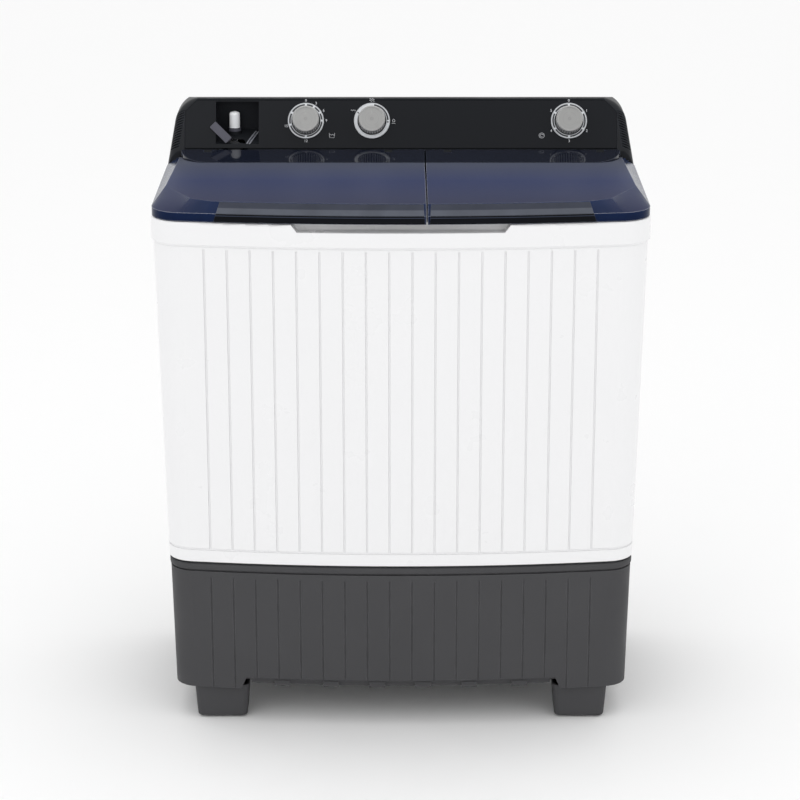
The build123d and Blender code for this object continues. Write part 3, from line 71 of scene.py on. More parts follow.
class Shader:
    """Node tree of one material, with short helpers for its nodes."""

    def __init__(self, name):
        self.material = bpy.data.materials.new(name)
        self.material.use_nodes = True
        self.tree = self.material.node_tree
        self.bsdf = self.tree.nodes["Principled BSDF"]
        coordinates = self.node("ShaderNodeTexCoord")
        self.place = coordinates.outputs["Object"]
        self.facing = coordinates.outputs["Normal"]

    def node(self, kind, **settings):
        """A new node with its settings."""
        made = self.tree.nodes.new(kind)
        for key, value in settings.items():
            setattr(made, key, value)
        return made

    def join(self, source, target):
        """Link a socket, or set a constant."""
        if isinstance(source, bpy.types.NodeSocket):
            self.tree.links.new(source, target)
        else:
            target.default_value = source

    def pair(self, kind, first, second, **settings):
        """A new node with its first two inputs joined."""
        made = self.node(kind, **settings)
        self.join(first, made.inputs[0])
        self.join(second, made.inputs[1])
        return made

    def stretched(self, scale):
        """Object coordinates scaled differently along each axis."""
        mapping = self.node("ShaderNodeMapping")
        self.join(self.place, mapping.inputs["Vector"])
        mapping.inputs["Scale"].default_value = scale
        return mapping.outputs["Vector"]

    def noise(self, scale, detail, place=None):
        """Fractal noise from 0 to 1."""
        made = self.node("ShaderNodeTexNoise")
        self.join(place or self.place, made.inputs["Vector"])
        made.inputs["Scale"].default_value = scale
        made.inputs["Detail"].default_value = detail
        return made.outputs["Fac"]

    def spread(self, value, source, target=FULL):
        """Map one range of a value to another, clamped."""
        made = self.node("ShaderNodeMapRange")
        self.join(value, made.inputs["Value"])
        sockets = ("From Min", "From Max", "To Min", "To Max")
        for socket, number in zip(sockets, source + target):
            made.inputs[socket].default_value = number
        return made.outputs["Result"]

    def math(self, operation, first, second=0.0, clamp=True):
        """One step of arithmetic."""
        settings = {"operation": operation, "use_clamp": clamp}
        return self.pair("ShaderNodeMath", first, second, **settings).outputs[0]

    def times(self, mask, share):
        """Product of two masks, or a mask made weaker."""
        return self.math("MULTIPLY", mask, share)

    def vector(self, operation, first, second, output=0):
        """One step of vector arithmetic."""
        made = self.pair("ShaderNodeVectorMath", first, second, operation=operation)
        return made.outputs[output]

    def dot(self, first, second):
        """Dot product of two vectors."""
        return self.vector("DOT_PRODUCT", first, second, "Value")

    def mix(self, factor, first, second):
        """Blend of two colours."""
        made = self.node("ShaderNodeMix", data_type="RGBA")
        self.join(factor, made.inputs[0])
        self.join(first, made.inputs[6])
        self.join(second, made.inputs[7])
        return made.outputs[2]

    def mix_number(self, factor, first, second):
        """Blend of two numbers."""
        made = self.node("ShaderNodeMix", data_type="FLOAT")
        self.join(factor, made.inputs[0])
        self.join(first, made.inputs[2])
        self.join(second, made.inputs[3])
        return made.outputs[0]

    def part(self, vector, axis):
        """One component of a vector."""
        made = self.node("ShaderNodeSeparateXYZ")
        self.join(vector, made.inputs[0])
        return made.outputs[axis]

    def edges(self, radius):
        """(rounded normal, mask that is 1 on edges sharper than the radius)."""
        bevel = self.node("ShaderNodeBevel", samples=4)
        bevel.inputs["Radius"].default_value = radius
        true_normal = self.node("ShaderNodeNewGeometry").outputs["Normal"]
        rounding = self.dot(bevel.outputs[0], true_normal)
        return bevel.outputs[0], self.spread(rounding, SHARP_EDGE)

    def bump(self, height, distance, normal):
        """Normal disturbed by a height, in metres."""
        made = self.node("ShaderNodeBump")
        made.inputs["Strength"].default_value = 1.0
        made.inputs["Distance"].default_value = distance
        self.join(height, made.inputs["Height"])
        self.join(normal, made.inputs["Normal"])
        return made.outputs["Normal"]

    def finish(self, colour, roughness, normal, **sockets):
        """Set the shader's sockets and give the material."""
        sockets.update(Base_Color=colour, Roughness=roughness, Normal=normal)
        for key, value in sockets.items():
            self.join(value, self.bsdf.inputs[key.replace("_", " ")])
        return self.material


# Noise scales are in turns per metre.
CLOUD, SPECK, EDGE_PATCHES, SMEARS = 7.0, 420.0, 38.0, 16.0
SPECK_SHARE = 0.35           # how far a fleck darkens the plastic


def moulded(name, colour, rough, grain, depth, blotch, edge, edge_wear_and_highlight, **sockets):
    """Moulded plastic, rubber or paint: grain, uneven colour and edges lightened by wear and a painted highlight.
    """
    s = Shader(name)
    normal, rim = s.edges(edge)
    cloud = s.noise(CLOUD, detail=4.0)
    speck = s.spread(s.noise(SPECK, detail=2.0), (0.35, 0.65), (0.0, SPECK_SHARE))
    body = s.mix(cloud, shade(colour, 1 - blotch), shade(colour, 1 + blotch))
    body = s.mix(speck, body, shade(colour, 1 - 1.2 * blotch))
    patches = s.spread(s.noise(EDGE_PATCHES, detail=5.0), (0.3, 0.62), (0.25, 0.8))
    # painted highlight and wear: edges lightened in patches
    body = s.mix(s.times(rim, patches), body, shade(colour, edge_wear_and_highlight))
    roughness = (rough * 0.86, min(rough * 1.16, 1.0))
    smear = s.spread(s.noise(SMEARS, detail=6.0), MOST_NOISE, roughness)
    skin = s.bump(s.noise(grain, detail=4.0), depth, normal)
    return s.finish(body, smear, skin, **sockets)


BRUSH_DEPTH, BRUSH_EDGE, STAINS = 0.04 * MM, 0.6 * MM, 12.0


def brushed(name, colour, rough, stretch):
    """Metal with fine lines along the axis where stretch is small."""
    s = Shader(name)
    normal, rim = s.edges(BRUSH_EDGE)
    lines = s.noise(1.0, 6.0, s.stretched(stretch))
    stains = s.spread(s.noise(STAINS, detail=4.0), (0.55, 0.8), (0.0, 0.3))
    body = s.mix(s.spread(lines, MOST_NOISE), shade(colour, 0.86), shade(colour, 1.1))
    body = s.mix(stains, body, shade(colour, 0.7))
    # painted highlight and wear: edges lightened
    body = s.mix(s.times(rim, 0.5), body, shade(colour, 1.25))
    smear = s.spread(lines, (0.2, 0.8), (rough * 0.8, rough * 1.2))
    return s.finish(body, smear, s.bump(lines, BRUSH_DEPTH, normal), Metallic=1.0)


SAND, SAND_DEPTH, CAST_EDGE, GRIME = 650.0, 0.3 * MM, 1.0 * MM, 22.0


def cast(name, colour, rough):
    """Die cast or painted metal with a sandy skin."""
    s = Shader(name)
    normal, rim = s.edges(CAST_EDGE)
    sand = s.noise(SAND, detail=5.0)
    grime = s.spread(s.noise(GRIME, detail=5.0), (0.52, 0.75), (0.0, 0.4))
    body = s.mix(sand, shade(colour, 0.8), shade(colour, 1.12))
    body = s.mix(grime, body, shade(colour, 0.66))
    # painted highlight and wear: edges lightened
    body = s.mix(s.times(rim, 0.7), body, shade(colour, 1.35))
    smear = s.spread(sand, MOST_NOISE, (rough * 0.85, rough * 1.15))
    return s.finish(body, smear, s.bump(sand, SAND_DEPTH, normal), Metallic=0.85)


# ---- the lids -----------------------------------------------------------------------
LID_REAR_TINT_AND_REFLECTION = srgb(92, 96, 107)
LID_MID_TINT_AND_REFLECTION = srgb(50, 60, 97)
LID_FRONT_TINT_AND_REFLECTION = srgb(28, 34, 66)
SKIRT_TINT = srgb(4, 22, 54)
SKIRT_PAINTED_LIGHT = srgb(12, 34, 72)
FACET_TINT_AND_REFLECTION = srgb(36, 48, 78)
LID_EDGE_HIGHLIGHT = srgb(206, 210, 224)
LID_WEAVE = 620.0            # checks per metre on the side facets
LID_GRAIN = 1500.0


def lid_tint():
    """Smoky blue plastic: matt flat top with a painted reflection, glossy skirts painted lighter towards the top,
    textured facets with a painted reflection, painted highlights on the edges.
    """
    s = Shader("lid_tint")
    normal, rim = s.edges(1.2 * MM)
    low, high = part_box("wash_lid")
    level = s.part(s.facing, 2)
    sideways = s.math("ABSOLUTE", s.part(s.facing, 0))
    flat = s.spread(level, (0.92, 0.975))
    facet = s.times(s.spread(sideways, (0.25, 0.4)), s.spread(level, (0.2, 0.4)))
    run = s.spread(s.part(s.place, 1), (low.y, high.y))
    # painted reflection: the top's tint lighter towards the rear
    top = s.mix(s.spread(run, (0.0, 0.55)), LID_FRONT_TINT_AND_REFLECTION, LID_MID_TINT_AND_REFLECTION)
    top = s.mix(s.spread(run, (0.5, 0.95)), top, LID_REAR_TINT_AND_REFLECTION)
    cloud = s.times(s.noise(scale=5.0, detail=4.0), 0.25)
    top = s.mix(cloud, top, shade(LID_FRONT_TINT_AND_REFLECTION, 0.8))
    # painted light: the skirt lighter towards its top
    skirt = s.mix(s.spread(s.part(s.place, 2), (low.z, high.z)), SKIRT_TINT, SKIRT_PAINTED_LIGHT)
    streaks = s.spread(s.noise(scale=30.0, detail=3.0), (0.4, 0.7), (0.0, 0.4))
    skirt = s.mix(streaks, skirt, shade(SKIRT_TINT, 0.7))
    weave = s.node("ShaderNodeTexChecker")
    s.join(s.place, weave.inputs["Vector"])
    weave.inputs["Scale"].default_value = LID_WEAVE
    checks = s.times(weave.outputs["Fac"], 0.5)
    # the facets: their tint lightened by a painted reflection, with a checked pattern
    side = s.mix(checks, FACET_TINT_AND_REFLECTION, shade(FACET_TINT_AND_REFLECTION, 0.72))
    body = s.mix(flat, s.mix(facet, skirt, side), top)
    # painted highlight along the edges
    body = s.mix(s.times(rim, 0.7), body, LID_EDGE_HIGHLIGHT)
    grain = s.noise(LID_GRAIN, detail=3.0)
    smear_top = s.spread(grain, (0.2, 0.8), (0.42, 0.52))
    smear_side = s.spread(s.noise(scale=60.0, detail=3.0), MOST_NOISE, (0.10, 0.18))
    smear = s.mix_number(flat, smear_side, smear_top)
    settings = {"Specular_IOR_Level": 0.1, "Alpha": 0.975, "IOR": 1.5}
    return s.finish(body, smear, s.bump(grain, 0.04 * MM, normal), **settings)


CAP_DARK, CAP_PALE = srgb(22, 25, 36), srgb(27, 31, 43)
CAP_EDGE_HIGHLIGHT = srgb(96, 104, 124)
CAP_WIPES = (30.0, 900.0, 900.0)


def lid_cap_gloss():
    """Deep gloss black of the raised caps, with a faint haze and fine wiping marks."""
    s = Shader("lid_cap_gloss")
    normal, rim = s.edges(0.8 * MM)
    body = s.mix(s.noise(scale=9.0, detail=4.0), CAP_DARK, CAP_PALE)
    # painted highlight along the edges
    body = s.mix(s.times(rim, 0.6), body, CAP_EDGE_HIGHLIGHT)
    wipes = s.noise(1.0, 5.0, s.stretched(CAP_WIPES))
    smear = s.spread(wipes, (0.3, 0.75), (0.045, 0.11))
    skin = s.bump(s.noise(scale=140.0, detail=2.0), 0.004 * MM, normal)
    return s.finish(body, smear, skin, Specular_IOR_Level=0.45)


GRIP_UPPER_REFLECTION = srgb(56, 60, 72)
GRIP_FRONT_REFLECTION = srgb(84, 88, 98)
GRIP_LIP = srgb(3, 5, 12)
GRIP_LINE = srgb(58, 64, 80)
GRIP_EDGE_HIGHLIGHT = srgb(128, 134, 150)
LIP_TOP, PALE_LINE_LEVEL = 0.5, 0.38   # as shares of the whole grip's height
REFLECTION_STEP = 0.5              # as a share of the slope's height


def lid_grip_gloss():
    """Smoked grip: two tones of painted reflection on the slope, a near black lip and a paler line across it."""
    s = Shader("lid_grip_gloss")
    normal, rim = s.edges(0.7 * MM)
    low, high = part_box("wash_lid_handle")
    level = s.part(s.place, 2)
    lip = low.z + LIP_TOP * (high.z - low.z)
    step = lip + REFLECTION_STEP * (high.z - lip)
    pale_line = low.z + PALE_LINE_LEVEL * (high.z - low.z)
    upper = s.spread(level, (step - 0.4 * MM, step + 0.4 * MM))
    above_lip = s.spread(level, (lip - 0.3 * MM, lip + 0.5 * MM))
    # painted reflection: the slope darker above the step, paler below it
    body = s.mix(above_lip, GRIP_LIP, s.mix(upper, GRIP_FRONT_REFLECTION, GRIP_UPPER_REFLECTION))
    # a paler line painted across the lip
    near = s.math("ABSOLUTE", s.math("SUBTRACT", level, pale_line, clamp=False))
    body = s.mix(s.spread(near, (0.4 * MM, 0.9 * MM), (0.7, 0.0)), body, GRIP_LINE)
    smoke = s.spread(s.noise(scale=26.0, detail=5.0), (0.35, 0.7), (0.0, 0.22))
    body = s.mix(smoke, body, GRIP_LIP)
    # painted highlight along the edges
    body = s.mix(s.times(rim, 0.45), body, GRIP_EDGE_HIGHLIGHT)
    smear = s.spread(s.noise(scale=45.0, detail=5.0), MOST_NOISE, (0.14, 0.24))
    skin = s.bump(s.noise(scale=900.0, detail=3.0), 0.02 * MM, normal)
    return s.finish(body, smear, skin, Specular_IOR_Level=0.1)


# ---- the dials and the water selector -----------------------------------------------
SILVER = srgb(160, 160, 159)
SILVER_EDGE_HIGHLIGHT = srgb(236, 236, 236)
RING_PITCH = 2600.0          # turning marks per metre, about
KNURLS = 32.0
KNURL_SHADOW = srgb(34, 34, 36)
KNURL_PAINTED_LIGHT = srgb(214, 214, 214)
RIGHT = Vector((1, 0, 0))


def dial_place(joint):
    """(centre on the panel, outward normal) of a dial, from its joint."""
    made = JOINTS[joint]
    return Vector(made["pos_m"]), -Vector(made["axis"]).normalized()


def knurl(s, joint):
    """(mask of the grip round a dial, mask of the notches in it)."""
    centre, outward = dial_place(joint)
    away = s.vector("SUBTRACT", s.place, centre)
    across, upward = s.dot(away, RIGHT), s.dot(away, outward.cross(RIGHT))
    turn = s.math("ARCTAN2", across, upward, clamp=False)
    turns = s.math("MULTIPLY", turn, KNURLS, clamp=False)
    notches = s.spread(s.math("SINE", turns, clamp=False), (0.1, 0.5), (0.0, 0.9))
    side = s.spread(s.dot(s.facing, outward), (0.55, 0.75), (1.0, 0.0))
    return side, s.times(side, notches)


def dial_silver(joint):
    """Turned aluminium face, rings round the dial's own centre, and a grip painted pale against its shade, with
    painted shade in its unmodelled notches.
    """
    s = Shader("dial_silver_" + joint)
    normal, rim = s.edges(0.5 * MM)
    turned = s.node("ShaderNodeTexNoise", noise_dimensions="1D")
    reach = s.vector("DISTANCE", s.place, dial_place(joint)[0], "Value")
    s.join(reach, turned.inputs["W"])
    turned.inputs["Scale"].default_value = RING_PITCH
    turned.inputs["Detail"].default_value = 3.0
    rings = turned.outputs["Fac"]
    body = s.mix(s.spread(rings, MOST_NOISE), shade(SILVER, 0.82), shade(SILVER, 1.1))
    # painted highlight along the edges
    body = s.mix(s.times(rim, 0.6), body, SILVER_EDGE_HIGHLIGHT)
    dull = s.spread(s.noise(scale=90.0, detail=3.0), (0.55, 0.8), (0.0, 0.25))
    body = s.mix(dull, body, shade(SILVER, 0.7))
    side, notches = knurl(s, joint)
    # painted light on the grip's shaded side, painted shade for its notches
    body = s.mix(notches, s.mix(side, body, KNURL_PAINTED_LIGHT), KNURL_SHADOW)
    smear = s.spread(rings, (0.2, 0.8), (0.26, 0.4))
    metallic = s.spread(side, FULL, (0.75, 0.0))
    return s.finish(body, smear, s.bump(rings, 0.03 * MM, normal), Metallic=metallic)


HUB_SHADE = srgb(30, 31, 35)
LEVER_DARK, LEVER_PALE = srgb(80, 80, 90), srgb(92, 92, 102)
LEVER_EDGE_HIGHLIGHT = srgb(126, 126, 136)
HUB_SHADE_TOP = (-3.5 * MM, -2.5 * MM)   # from the painted shade on the hub to the lever's colour, off the panel


def selector_grey():
    """Satin grey lever; the hub, which lies behind the panel, is painted dark as shade."""
    s = Shader("selector_grey")
    normal, rim = s.edges(0.6 * MM)
    centre, outward = dial_place("selector_swing")
    away = s.vector("SUBTRACT", s.place, centre)
    front = s.spread(s.dot(away, outward), HUB_SHADE_TOP)
    grey = s.mix(s.noise(scale=60.0, detail=4.0), LEVER_DARK, LEVER_PALE)
    # painted highlight along the edges
    grey = s.mix(s.times(rim, 0.6), grey, LEVER_EDGE_HIGHLIGHT)
    # painted shade on the hub, which lies behind the panel in the pocket
    body = s.mix(front, HUB_SHADE, grey)
    smear = s.spread(s.noise(scale=30.0, detail=5.0), MOST_NOISE, (0.36, 0.5))
    skin = s.bump(s.noise(scale=1200.0, detail=3.0), 0.08 * MM, normal)
    return s.finish(body, smear, skin, Specular_IOR_Level=0.25)


# ---- finishes -----------------------------------------------------------------------
WHITE = srgb(236, 236, 237)
CHARCOAL = srgb(66, 66, 68)
BLACK = srgb(28, 30, 34)
GLOSS_BLACK = srgb(26, 28, 32)

# finish: (colour, roughness, grain scale, grain depth in mm, unevenness of the colour,
#          edge radius in mm, brightness of an edge from wear and a painted highlight)
MOULDED = {
    "white_shell": (WHITE, 0.30, 900.0, 0.03, 0.012, 1.4, 1.03),
    "dark_shell": (CHARCOAL, 0.55, 1300.0, 0.12, 0.06, 1.4, 2.6),
    "rubber": (srgb(38, 38, 39), 0.85, 700.0, 0.2, 0.12, 1.0, 1.5),
    "grey_metal": (srgb(176, 178, 180), 0.42, 1000.0, 0.1, 0.04, 0.7, 1.15),
    "console_shell": (BLACK, 0.50, 1500.0, 0.12, 0.08, 1.0, 1.9),
    "console_cheek": (BLACK, 0.42, 1500.0, 0.12, 0.08, 1.4, 4.2),
    "console_gloss": (GLOSS_BLACK, 0.2, 500.0, 0.01, 0.06, 0.8, 2.4),
    "white_fitting": (srgb(250, 251, 254), 0.3, 800.0, 0.03, 0.02, 0.6, 1.04),
    "grey_fitting": (srgb(84, 84, 94), 0.42, 1200.0, 0.08, 0.05, 0.6, 1.5),
    "dial_scale": (srgb(222, 225, 228), 0.3, 900.0, 0.03, 0.04, 0.6, 1.1),
    "switch_case": (srgb(214, 206, 184), 0.5, 900.0, 0.1, 0.04, 0.6, 1.08),
    "tub": (srgb(226, 230, 234), 0.26, 700.0, 0.04, 0.02, 1.2, 1.03),
    "inner_lid_tint": (srgb(206, 214, 228), 0.35, 600.0, 0.1, 0.03, 0.8, 1.1),
    "agitator": (srgb(92, 132, 178), 0.28, 700.0, 0.06, 0.04, 1.0, 1.3),
    "grey_pipe": (srgb(150, 152, 156), 0.45, 900.0, 0.1, 0.05, 0.8, 1.15),
    "cable": (srgb(42, 42, 46), 0.6, 1600.0, 0.2, 0.1, 0.6, 1.5),
    "print_white": (srgb(226, 228, 232), 0.5, 900.0, 0.02, 0.03, 0.2, 1.05),
    "print_dark": (srgb(48, 50, 55), 0.4, 900.0, 0.02, 0.05, 0.2, 1.2),
    "bezel_ring": (srgb(206, 208, 212), 0.28, 900.0, 0.02, 0.03, 0.4, 1.1),
    "guide_grey": (srgb(132, 134, 142), 0.4, 1200.0, 0.05, 0.04, 0.5, 1.3),
    "floor": (srgb(250, 250, 250), 0.8, 40.0, 0.0, 0.004, 0.2, 1.0),
}
# what a finish sets on the shader besides
SOCKETS = {
    "white_shell": {"Coat_Weight": 0.12},
    "dark_shell": {"Specular_IOR_Level": 0.25},
    "console_shell": {"Specular_IOR_Level": 0.1},
    "console_cheek": {"Specular_IOR_Level": 0.2},
    "console_gloss": {"Specular_IOR_Level": 0.12},
    "grey_fitting": {"Specular_IOR_Level": 0.25},
    "dial_scale": {"Metallic": 0.15},
    "inner_lid_tint": {"Alpha": 0.8},
    "bezel_ring": {"Metallic": 0.3},
}


def from_table(name):
    """The moulded finish of one row of the table."""
    colour, rough, grain, depth, blotch, edge, edge_wear_and_highlight = MOULDED[name]
    sizes = (grain, depth * MM, blotch, edge * MM, edge_wear_and_highlight)
    return moulded(name, colour, rough, *sizes, **SOCKETS.get(name, {}))


FINISHES = {name: from_table(name) for name in MOULDED}
FINISHES.update(
    motor_case=cast("motor_case", srgb(96, 98, 102), 0.5),
    alloy=cast("alloy", srgb(186, 188, 190), 0.42),
    basket=brushed("basket", srgb(190, 192, 195), 0.28, (60.0, 60.0, 2600.0)),
    steel=brushed("steel", srgb(186, 187, 190), 0.3, (900.0, 900.0, 60.0)),
    lid_tint=lid_tint(),
    lid_cap=lid_cap_gloss(),
    lid_grip=lid_grip_gloss(),
    selector=selector_grey(),
)
# nodes whose finish isn't the one that their slot names
OWN_FINISH = {
    "wash_lid_cap": "lid_cap",
    "spin_lid_cap": "lid_cap",
    "wash_lid_handle": "lid_grip",
    "spin_lid_handle": "lid_grip",
    "water_selector": "selector",
    "console_cheeks": "console_cheek",
}
DIAL_JOINTS = {
    "wash_timer_knob": "wash_timer_turn",
    "wash_mode_knob": "wash_mode_turn",
    "spin_timer_knob": "spin_timer_turn",
}


def dress(node, material):
    """Give a CAD node its material."""
    mesh = NODES[node].data
    mesh.materials.clear()
    mesh.materials.append(material)


for part in frame["record"]["subparts"]:
    name = part["node"]
    if name in DIAL_JOINTS:
        dress(name, dial_silver(DIAL_JOINTS[name]))
    else:
        dress(name, FINISHES[OWN_FINISH.get(name, part["material_slot"])])


# ---- pieces -------------------------------------------------------------------------
def add_object(name, data):
    """A new object in the scene."""
    made = bpy.data.objects.new(name, data)
    bpy.context.scene.collection.objects.link(made)
    return made


def new_piece(name, data, finish, place=None):
    """Add a mesh or curve to the scene as a piece of the cabinet's body."""
    made = add_object(name, data)
    if place:
        made.matrix_world = place
    data.materials.append(FINISHES[finish])
    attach(made, "root")


def mesh_piece(name, build, finish):
    """Close a bmesh and make a piece of it."""
    bmesh.ops.recalc_face_normals(build, faces=build.faces)
    mesh = bpy.data.meshes.new(name)
    build.to_mesh(mesh)
    build.free()
    new_piece(name, mesh, finish)


def loft(build, sections):
    """Add a solid through sections that have the same number of corners."""
    rows = [[build.verts.new(corner) for corner in section] for section in sections]
    count = len(rows[0])
    for row, after in zip(rows, rows[1:]):
        for side in range(count):
            other = (side + 1) % count
            build.faces.new((row[side], row[other], after[other], after[side]))
    build.faces.new(rows[0])
    build.faces.new(rows[-1])


# ---- printed marks ------------------------------------------------------------------
PRINT_PROUD = 0.25 * MM
BAND_PROUD = 1.85 * MM       # a band starts just under the bezel's face
NUMBER_RADIUS, NUMBER_SIZE, NUMBER_DEPTH = 33.0, 6.0 * MM, 0.06 * MM
LINE_RADIUS = 0.28 * MM
BAND_STEP = 5                # degrees


def panel_frame(joint, proud):
    """Matrix whose XY plane lies on the panel round a dial, X to the right and Y up it."""
    centre, normal = dial_place(joint)
    turn = Matrix((RIGHT, normal.cross(RIGHT), normal)).transposed().to_4x4()
    return Matrix.Translation(centre + normal * proud) @ turn


def arc_sections(inner, outer, start, end, height, matrix):
    """Sections of a flat raised band between two angles, in degrees clockwise from the top."""
    steps = max(2, int(abs(end - start) / BAND_STEP))
    corners = ((inner, 0), (outer, 0), (outer, height), (inner, height))
    for index in range(steps + 1):
        angle = radians(90 - start - (end - start) * index / steps)
        yield [matrix @ Vector((r * cos(angle), r * sin(angle), level)) for r, level in corners]


def band_piece(name, joint, bands, height, finish):
    """One piece made of several raised bands round a dial."""
    build = bmesh.new()
    matrix = panel_frame(joint, BAND_PROUD)
    for inner, outer, start, end in bands:
        loft(build, arc_sections(inner * MM, outer * MM, start, end, height, matrix))
    mesh_piece(name, build, finish)


def number(name, text, joint, angle):
    """A printed number beside a dial."""
    curve = bpy.data.curves.new(name, "FONT")
    curve.body = text
    curve.size = NUMBER_SIZE
    curve.align_x = "CENTER"
    curve.align_y = "CENTER"
    curve.extrude = NUMBER_DEPTH
    turn = radians(90 - angle)
    reach = NUMBER_RADIUS * MM
    shift = Matrix.Translation((reach * cos(turn), reach * sin(turn), 0))
    place = panel_frame(joint, PRINT_PROUD) @ shift
    new_piece(name, curve, "print_white", place)


def stroke(name, joint, lines, offset):
    """A pictogram drawn with fine raised lines; its points are in mm from the offset."""
    curve = bpy.data.curves.new(name, "CURVE")
    curve.dimensions = "3D"
    curve.bevel_depth = LINE_RADIUS
    curve.bevel_resolution = 2
    for points in lines:
        spline = curve.splines.new("POLY")
        spline.points.add(len(points) - 1)
        for point, (x, y) in zip(spline.points, points):
            point.co = ((x + offset[0]) * MM, (y + offset[1]) * MM, 0, 1)
    place = panel_frame(joint, PRINT_PROUD * 0.5)
    new_piece(name, curve, "print_white", place)


def wave(x0, x1, height, level, steps=16):
    """Points of a water line."""
    shares = [index / steps for index in range(steps + 1)]
    return [(x0 + (x1 - x0) * t, level + height * sin(4 * pi * t)) for t in shares]


def circle(x, y, radius, start=0, end=360, steps=20):
    """Points of an arc."""
    turns = [radians(start + (end - start) * i / steps) for i in range(steps + 1)]
    return [(x + radius * cos(turn), y + radius * sin(turn)) for turn in turns]


def drop(x, y, size):
    """Points of a water drop."""
    tip = (x, y + size * 1.5)
    return [tip] + circle(x, y, size, 35, -215, 18) + [tip]


# joint: (start, end) of each printed arc, in degrees clockwise from the top
SCALES = {
    "wash_timer_turn": (
        (4, 26), (34, 56), (64, 86), (94, 176), (184, 251), (259, 296), (304, 356)),
    "wash_mode_turn": ((-62, -58), (8, 88), (93, 97)),
    "spin_timer_turn": (
        (4, 56), (64, 116), (124, 176), (184, 236), (244, 296), (304, 356)),
}
# joint: (number, its angle)
NUMBERS = {
    "wash_timer_turn": (("0", 0), ("3", 30), ("6", 60), ("9", 90), ("12", 180), ("15", 255)),
    "spin_timer_turn": (("0", 0), ("1", 60), ("2", 120), ("3", 180), ("4", 240), ("5", 300)),
}
RING_BAND = (28.0, 28.9, 0, 360)
SCALE_INNER, SCALE_OUTER = 24.4, 26.9
RING_TALL, SCALE_TALL = 0.4 * MM, 0.2 * MM

for joint, arcs in SCALES.items():
    label = joint.replace("_turn", "")
    band_piece(label + "_ring", joint, [RING_BAND], RING_TALL, "bezel_ring")
    segments = [(SCALE_INNER, SCALE_OUTER, start, end) for start, end in arcs]
    band_piece(label + "_scale", joint, segments, SCALE_TALL, "print_dark")
for joint, labels in NUMBERS.items():
    for text, angle in labels:
        number(joint.replace("turn", "number_") + text, text, joint, angle)

MODE, WASH, SPIN = "wash_mode_turn", "wash_timer_turn", "spin_timer_turn"
TUB_OUTLINE = [(-4.5, 4), (-3.6, -3.6), (3.6, -3.6), (4.5, 4)]
ARROW_HEAD = [(1.1, 1.9), (2.6, 0.6), (2.6, 2.6)]
stroke("icon_gentle", MODE, [wave(-4, 4, 0.9, 0)], (-30, 17))
stroke("icon_normal", MODE, [wave(-4, 4, 0.9, 1.4), wave(-4, 4, 0.9, -1.4)], (0, 34))
stroke("icon_drain", MODE, [drop(0, 0, 1.9), [(-3, -4.2), (3, -4.2)]], (35, 0))
stroke("icon_wash", WASH, [TUB_OUTLINE, wave(-3.6, 3.6, 0.6, 1.2)], (42, -24))
stroke("icon_spin", SPIN, [circle(0, 0, 4.2), circle(0, 0, 2.2, 20, 300), ARROW_HEAD], (-44, -24))

# ---- pocket guide -------------------------------------------------------------------
GUIDE_SLOPE = radians(18.3)
GUIDE_LIP = Vector((-0.2482, 0.1495, 0.8602))
GUIDE_RUN = 0.040            # length of the ribs up the pocket floor
GUIDE_SHIFT = 0.0135         # how far they lean to the right
GUIDE_GAP = 0.0042
GUIDE_WIDE = 0.0026
GUIDE_TALL = (1.6, 1.1)      # height of each rib, in mm
GUIDE_STEPS = 10


def guide_ribs():
    """Two low slanting ribs on the floor of the inlet pocket, beside the selector."""
    build = bmesh.new()
    floor_up = Vector((0, -sin(GUIDE_SLOPE), cos(GUIDE_SLOPE)))
    along = Vector((GUIDE_SHIFT, GUIDE_RUN * cos(GUIDE_SLOPE), GUIDE_RUN * sin(GUIDE_SLOPE)))
    across = along.normalized().cross(floor_up)
    half = across * GUIDE_WIDE / 2
    for index, tall in enumerate(GUIDE_TALL):
        foot = GUIDE_LIP + across * GUIDE_GAP * index
        sections = []
        for step in range(GUIDE_STEPS + 1):
            share = step / GUIDE_STEPS
            point = foot + along * share
            height = floor_up * tall * MM * min(1.0, 4 * share, 4 * (1 - share) + 0.4)
            upper = (point - half * 0.6 + height, point + half * 0.6 + height)
            sections.append((point - half, *upper, point + half))
        loft(build, sections)
    mesh_piece("selector_guide", build, "guide_grey")


guide_ribs()


# ---- underside front ----------------------------------------------------------------
BOW_RADIUS = 2.3
APRON_HALF = 0.236
APRON_STEPS = 16
KEEL_PLACES = (-0.187, -0.110, -0.037, 0.035, 0.108, 0.187)
KEEL_HALF = 0.012
KEEL_LOW, TRAY_LOW = 0.062, 0.0708
KEEL_FRONT, KEEL_BACK = -0.2003, -0.1833
KEEL_BEVEL, KEEL_NOSE = 0.0012, 0.002
SKIRT_FRONT, SKIRT_BACK, SKIRT_LOW = -0.1942, -0.1924, 0.0632


def bowed(x, y):
    """Depth of a point that follows the machine's bowed front."""
    return y + BOW_RADIUS - (BOW_RADIUS ** 2 - x ** 2) ** 0.5


def swept_bar(build, places, profile):
    """Add a bar along X whose section is a list of (y, z, follows the bow)."""
    loft(build, [
        [(x, bowed(x, y) if follows else y, z) for y, z, follows in profile] for x in places])


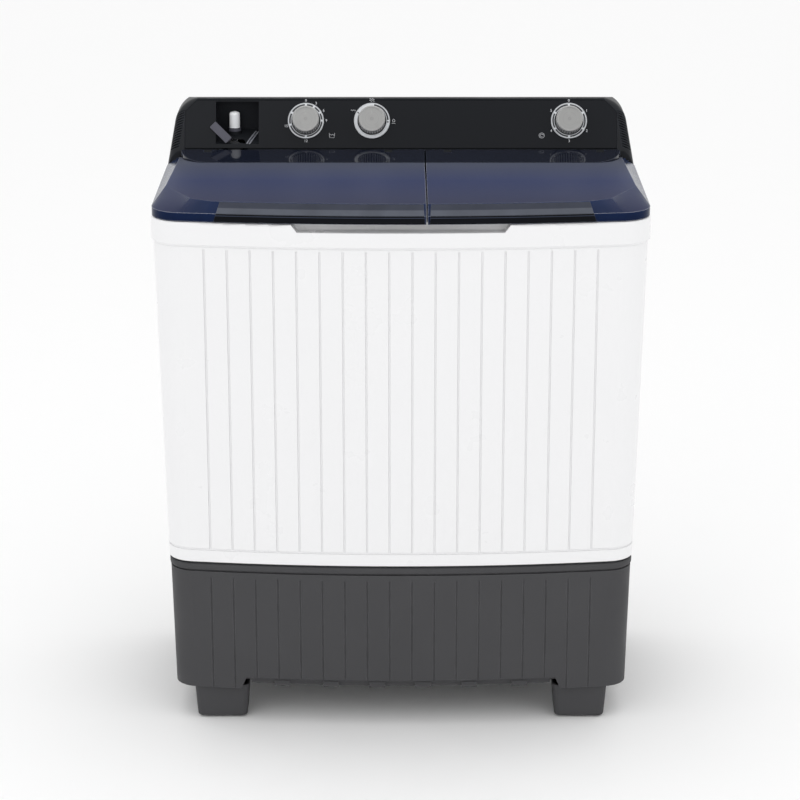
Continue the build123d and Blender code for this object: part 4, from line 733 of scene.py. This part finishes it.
def tray_front():
    """Skirt and keel noses of the bottom tray, seen under the raised front edge."""
    build = bmesh.new()
    places = [APRON_HALF * (2 * index / APRON_STEPS - 1) for index in range(APRON_STEPS + 1)]
    skirt = [(SKIRT_FRONT, TRAY_LOW, True), (SKIRT_FRONT, SKIRT_LOW, True)]
    skirt += [(SKIRT_BACK, SKIRT_LOW, True), (SKIRT_BACK, TRAY_LOW, True)]
    swept_bar(build, places, skirt)
    slope = KEEL_FRONT + KEEL_BEVEL
    keel = [(slope, TRAY_LOW, True), (KEEL_FRONT, KEEL_LOW + KEEL_NOSE, True)]
    keel += [(slope, KEEL_LOW, True), (KEEL_BACK, KEEL_LOW, False), (KEEL_BACK, TRAY_LOW, False)]
    for x in KEEL_PLACES:
        swept_bar(build, [x - KEEL_HALF, x, x + KEEL_HALF], keel)
    mesh_piece("tray_front", build, "dark_shell")


tray_front()

# ---- studio -------------------------------------------------------------------------
CAMERA_PLACE = (-0.0013, -4.1673, 1.7481)
CAMERA_PITCH = 17.0
CAMERA_LENS, SENSOR_WIDTH = 122.56, 36.0
CAMERA_REACH = 60.0
FLOOR_REACH = 30.0
LIGHT_TARGET = Vector((0, 0, 0.55))
# (name, place, (width, height), watts)
LIGHTS = (
    ("key", (-1.6, -3.2, 2.6), (2.4, 2.4), 9.0),
    ("fill", (2.2, -3.0, 1.4), (2.4, 2.4), 5.0),
    ("top", (0, 0.2, 3.2), (2.6, 2.0), 6.0),
)


def studio_camera():
    """Camera in front of the machine, looking a little down on it."""
    lens = bpy.data.cameras.new("camera")
    lens.lens = CAMERA_LENS
    lens.sensor_width = SENSOR_WIDTH
    lens.clip_end = CAMERA_REACH
    made = add_object("camera", lens)
    made.location = CAMERA_PLACE
    made.rotation_euler = (radians(90 - CAMERA_PITCH), 0, 0)
    bpy.context.scene.camera = made


def soft_light(name, place, size, power):
    """Rectangular softbox at a place, facing the machine."""
    lamp = bpy.data.lights.new(name, "AREA")
    lamp.shape = "RECTANGLE"
    lamp.size, lamp.size_y = size
    lamp.energy = power
    made = add_object(name, lamp)
    made.location = place
    made.rotation_euler = (LIGHT_TARGET - Vector(place)).to_track_quat("-Z", "Y").to_euler()


def pale_floor():
    """Plain pale ground sheet."""
    mesh = bpy.data.meshes.new("floor")
    signs = ((-1, -1), (1, -1), (1, 1), (-1, 1))
    corners = [(FLOOR_REACH * x, FLOOR_REACH * y, 0) for x, y in signs]
    mesh.from_pydata(corners, [], [(0, 1, 2, 3)])
    made = add_object("floor", mesh)
    mesh.materials.append(FINISHES["floor"])


def studio_world():
    """Even white surround."""
    world = bpy.data.worlds.new("studio")
    world.use_nodes = True
    ground = world.node_tree.nodes["Background"]
    ground.inputs["Color"].default_value = (1.0, 1.0, 1.0, 1.0)
    ground.inputs["Strength"].default_value = 1.0
    bpy.context.scene.world = world
    bpy.context.scene.view_settings.view_transform = "Standard"


studio_camera()
studio_world()
pale_floor()
for light in LIGHTS:
    soft_light(*light)
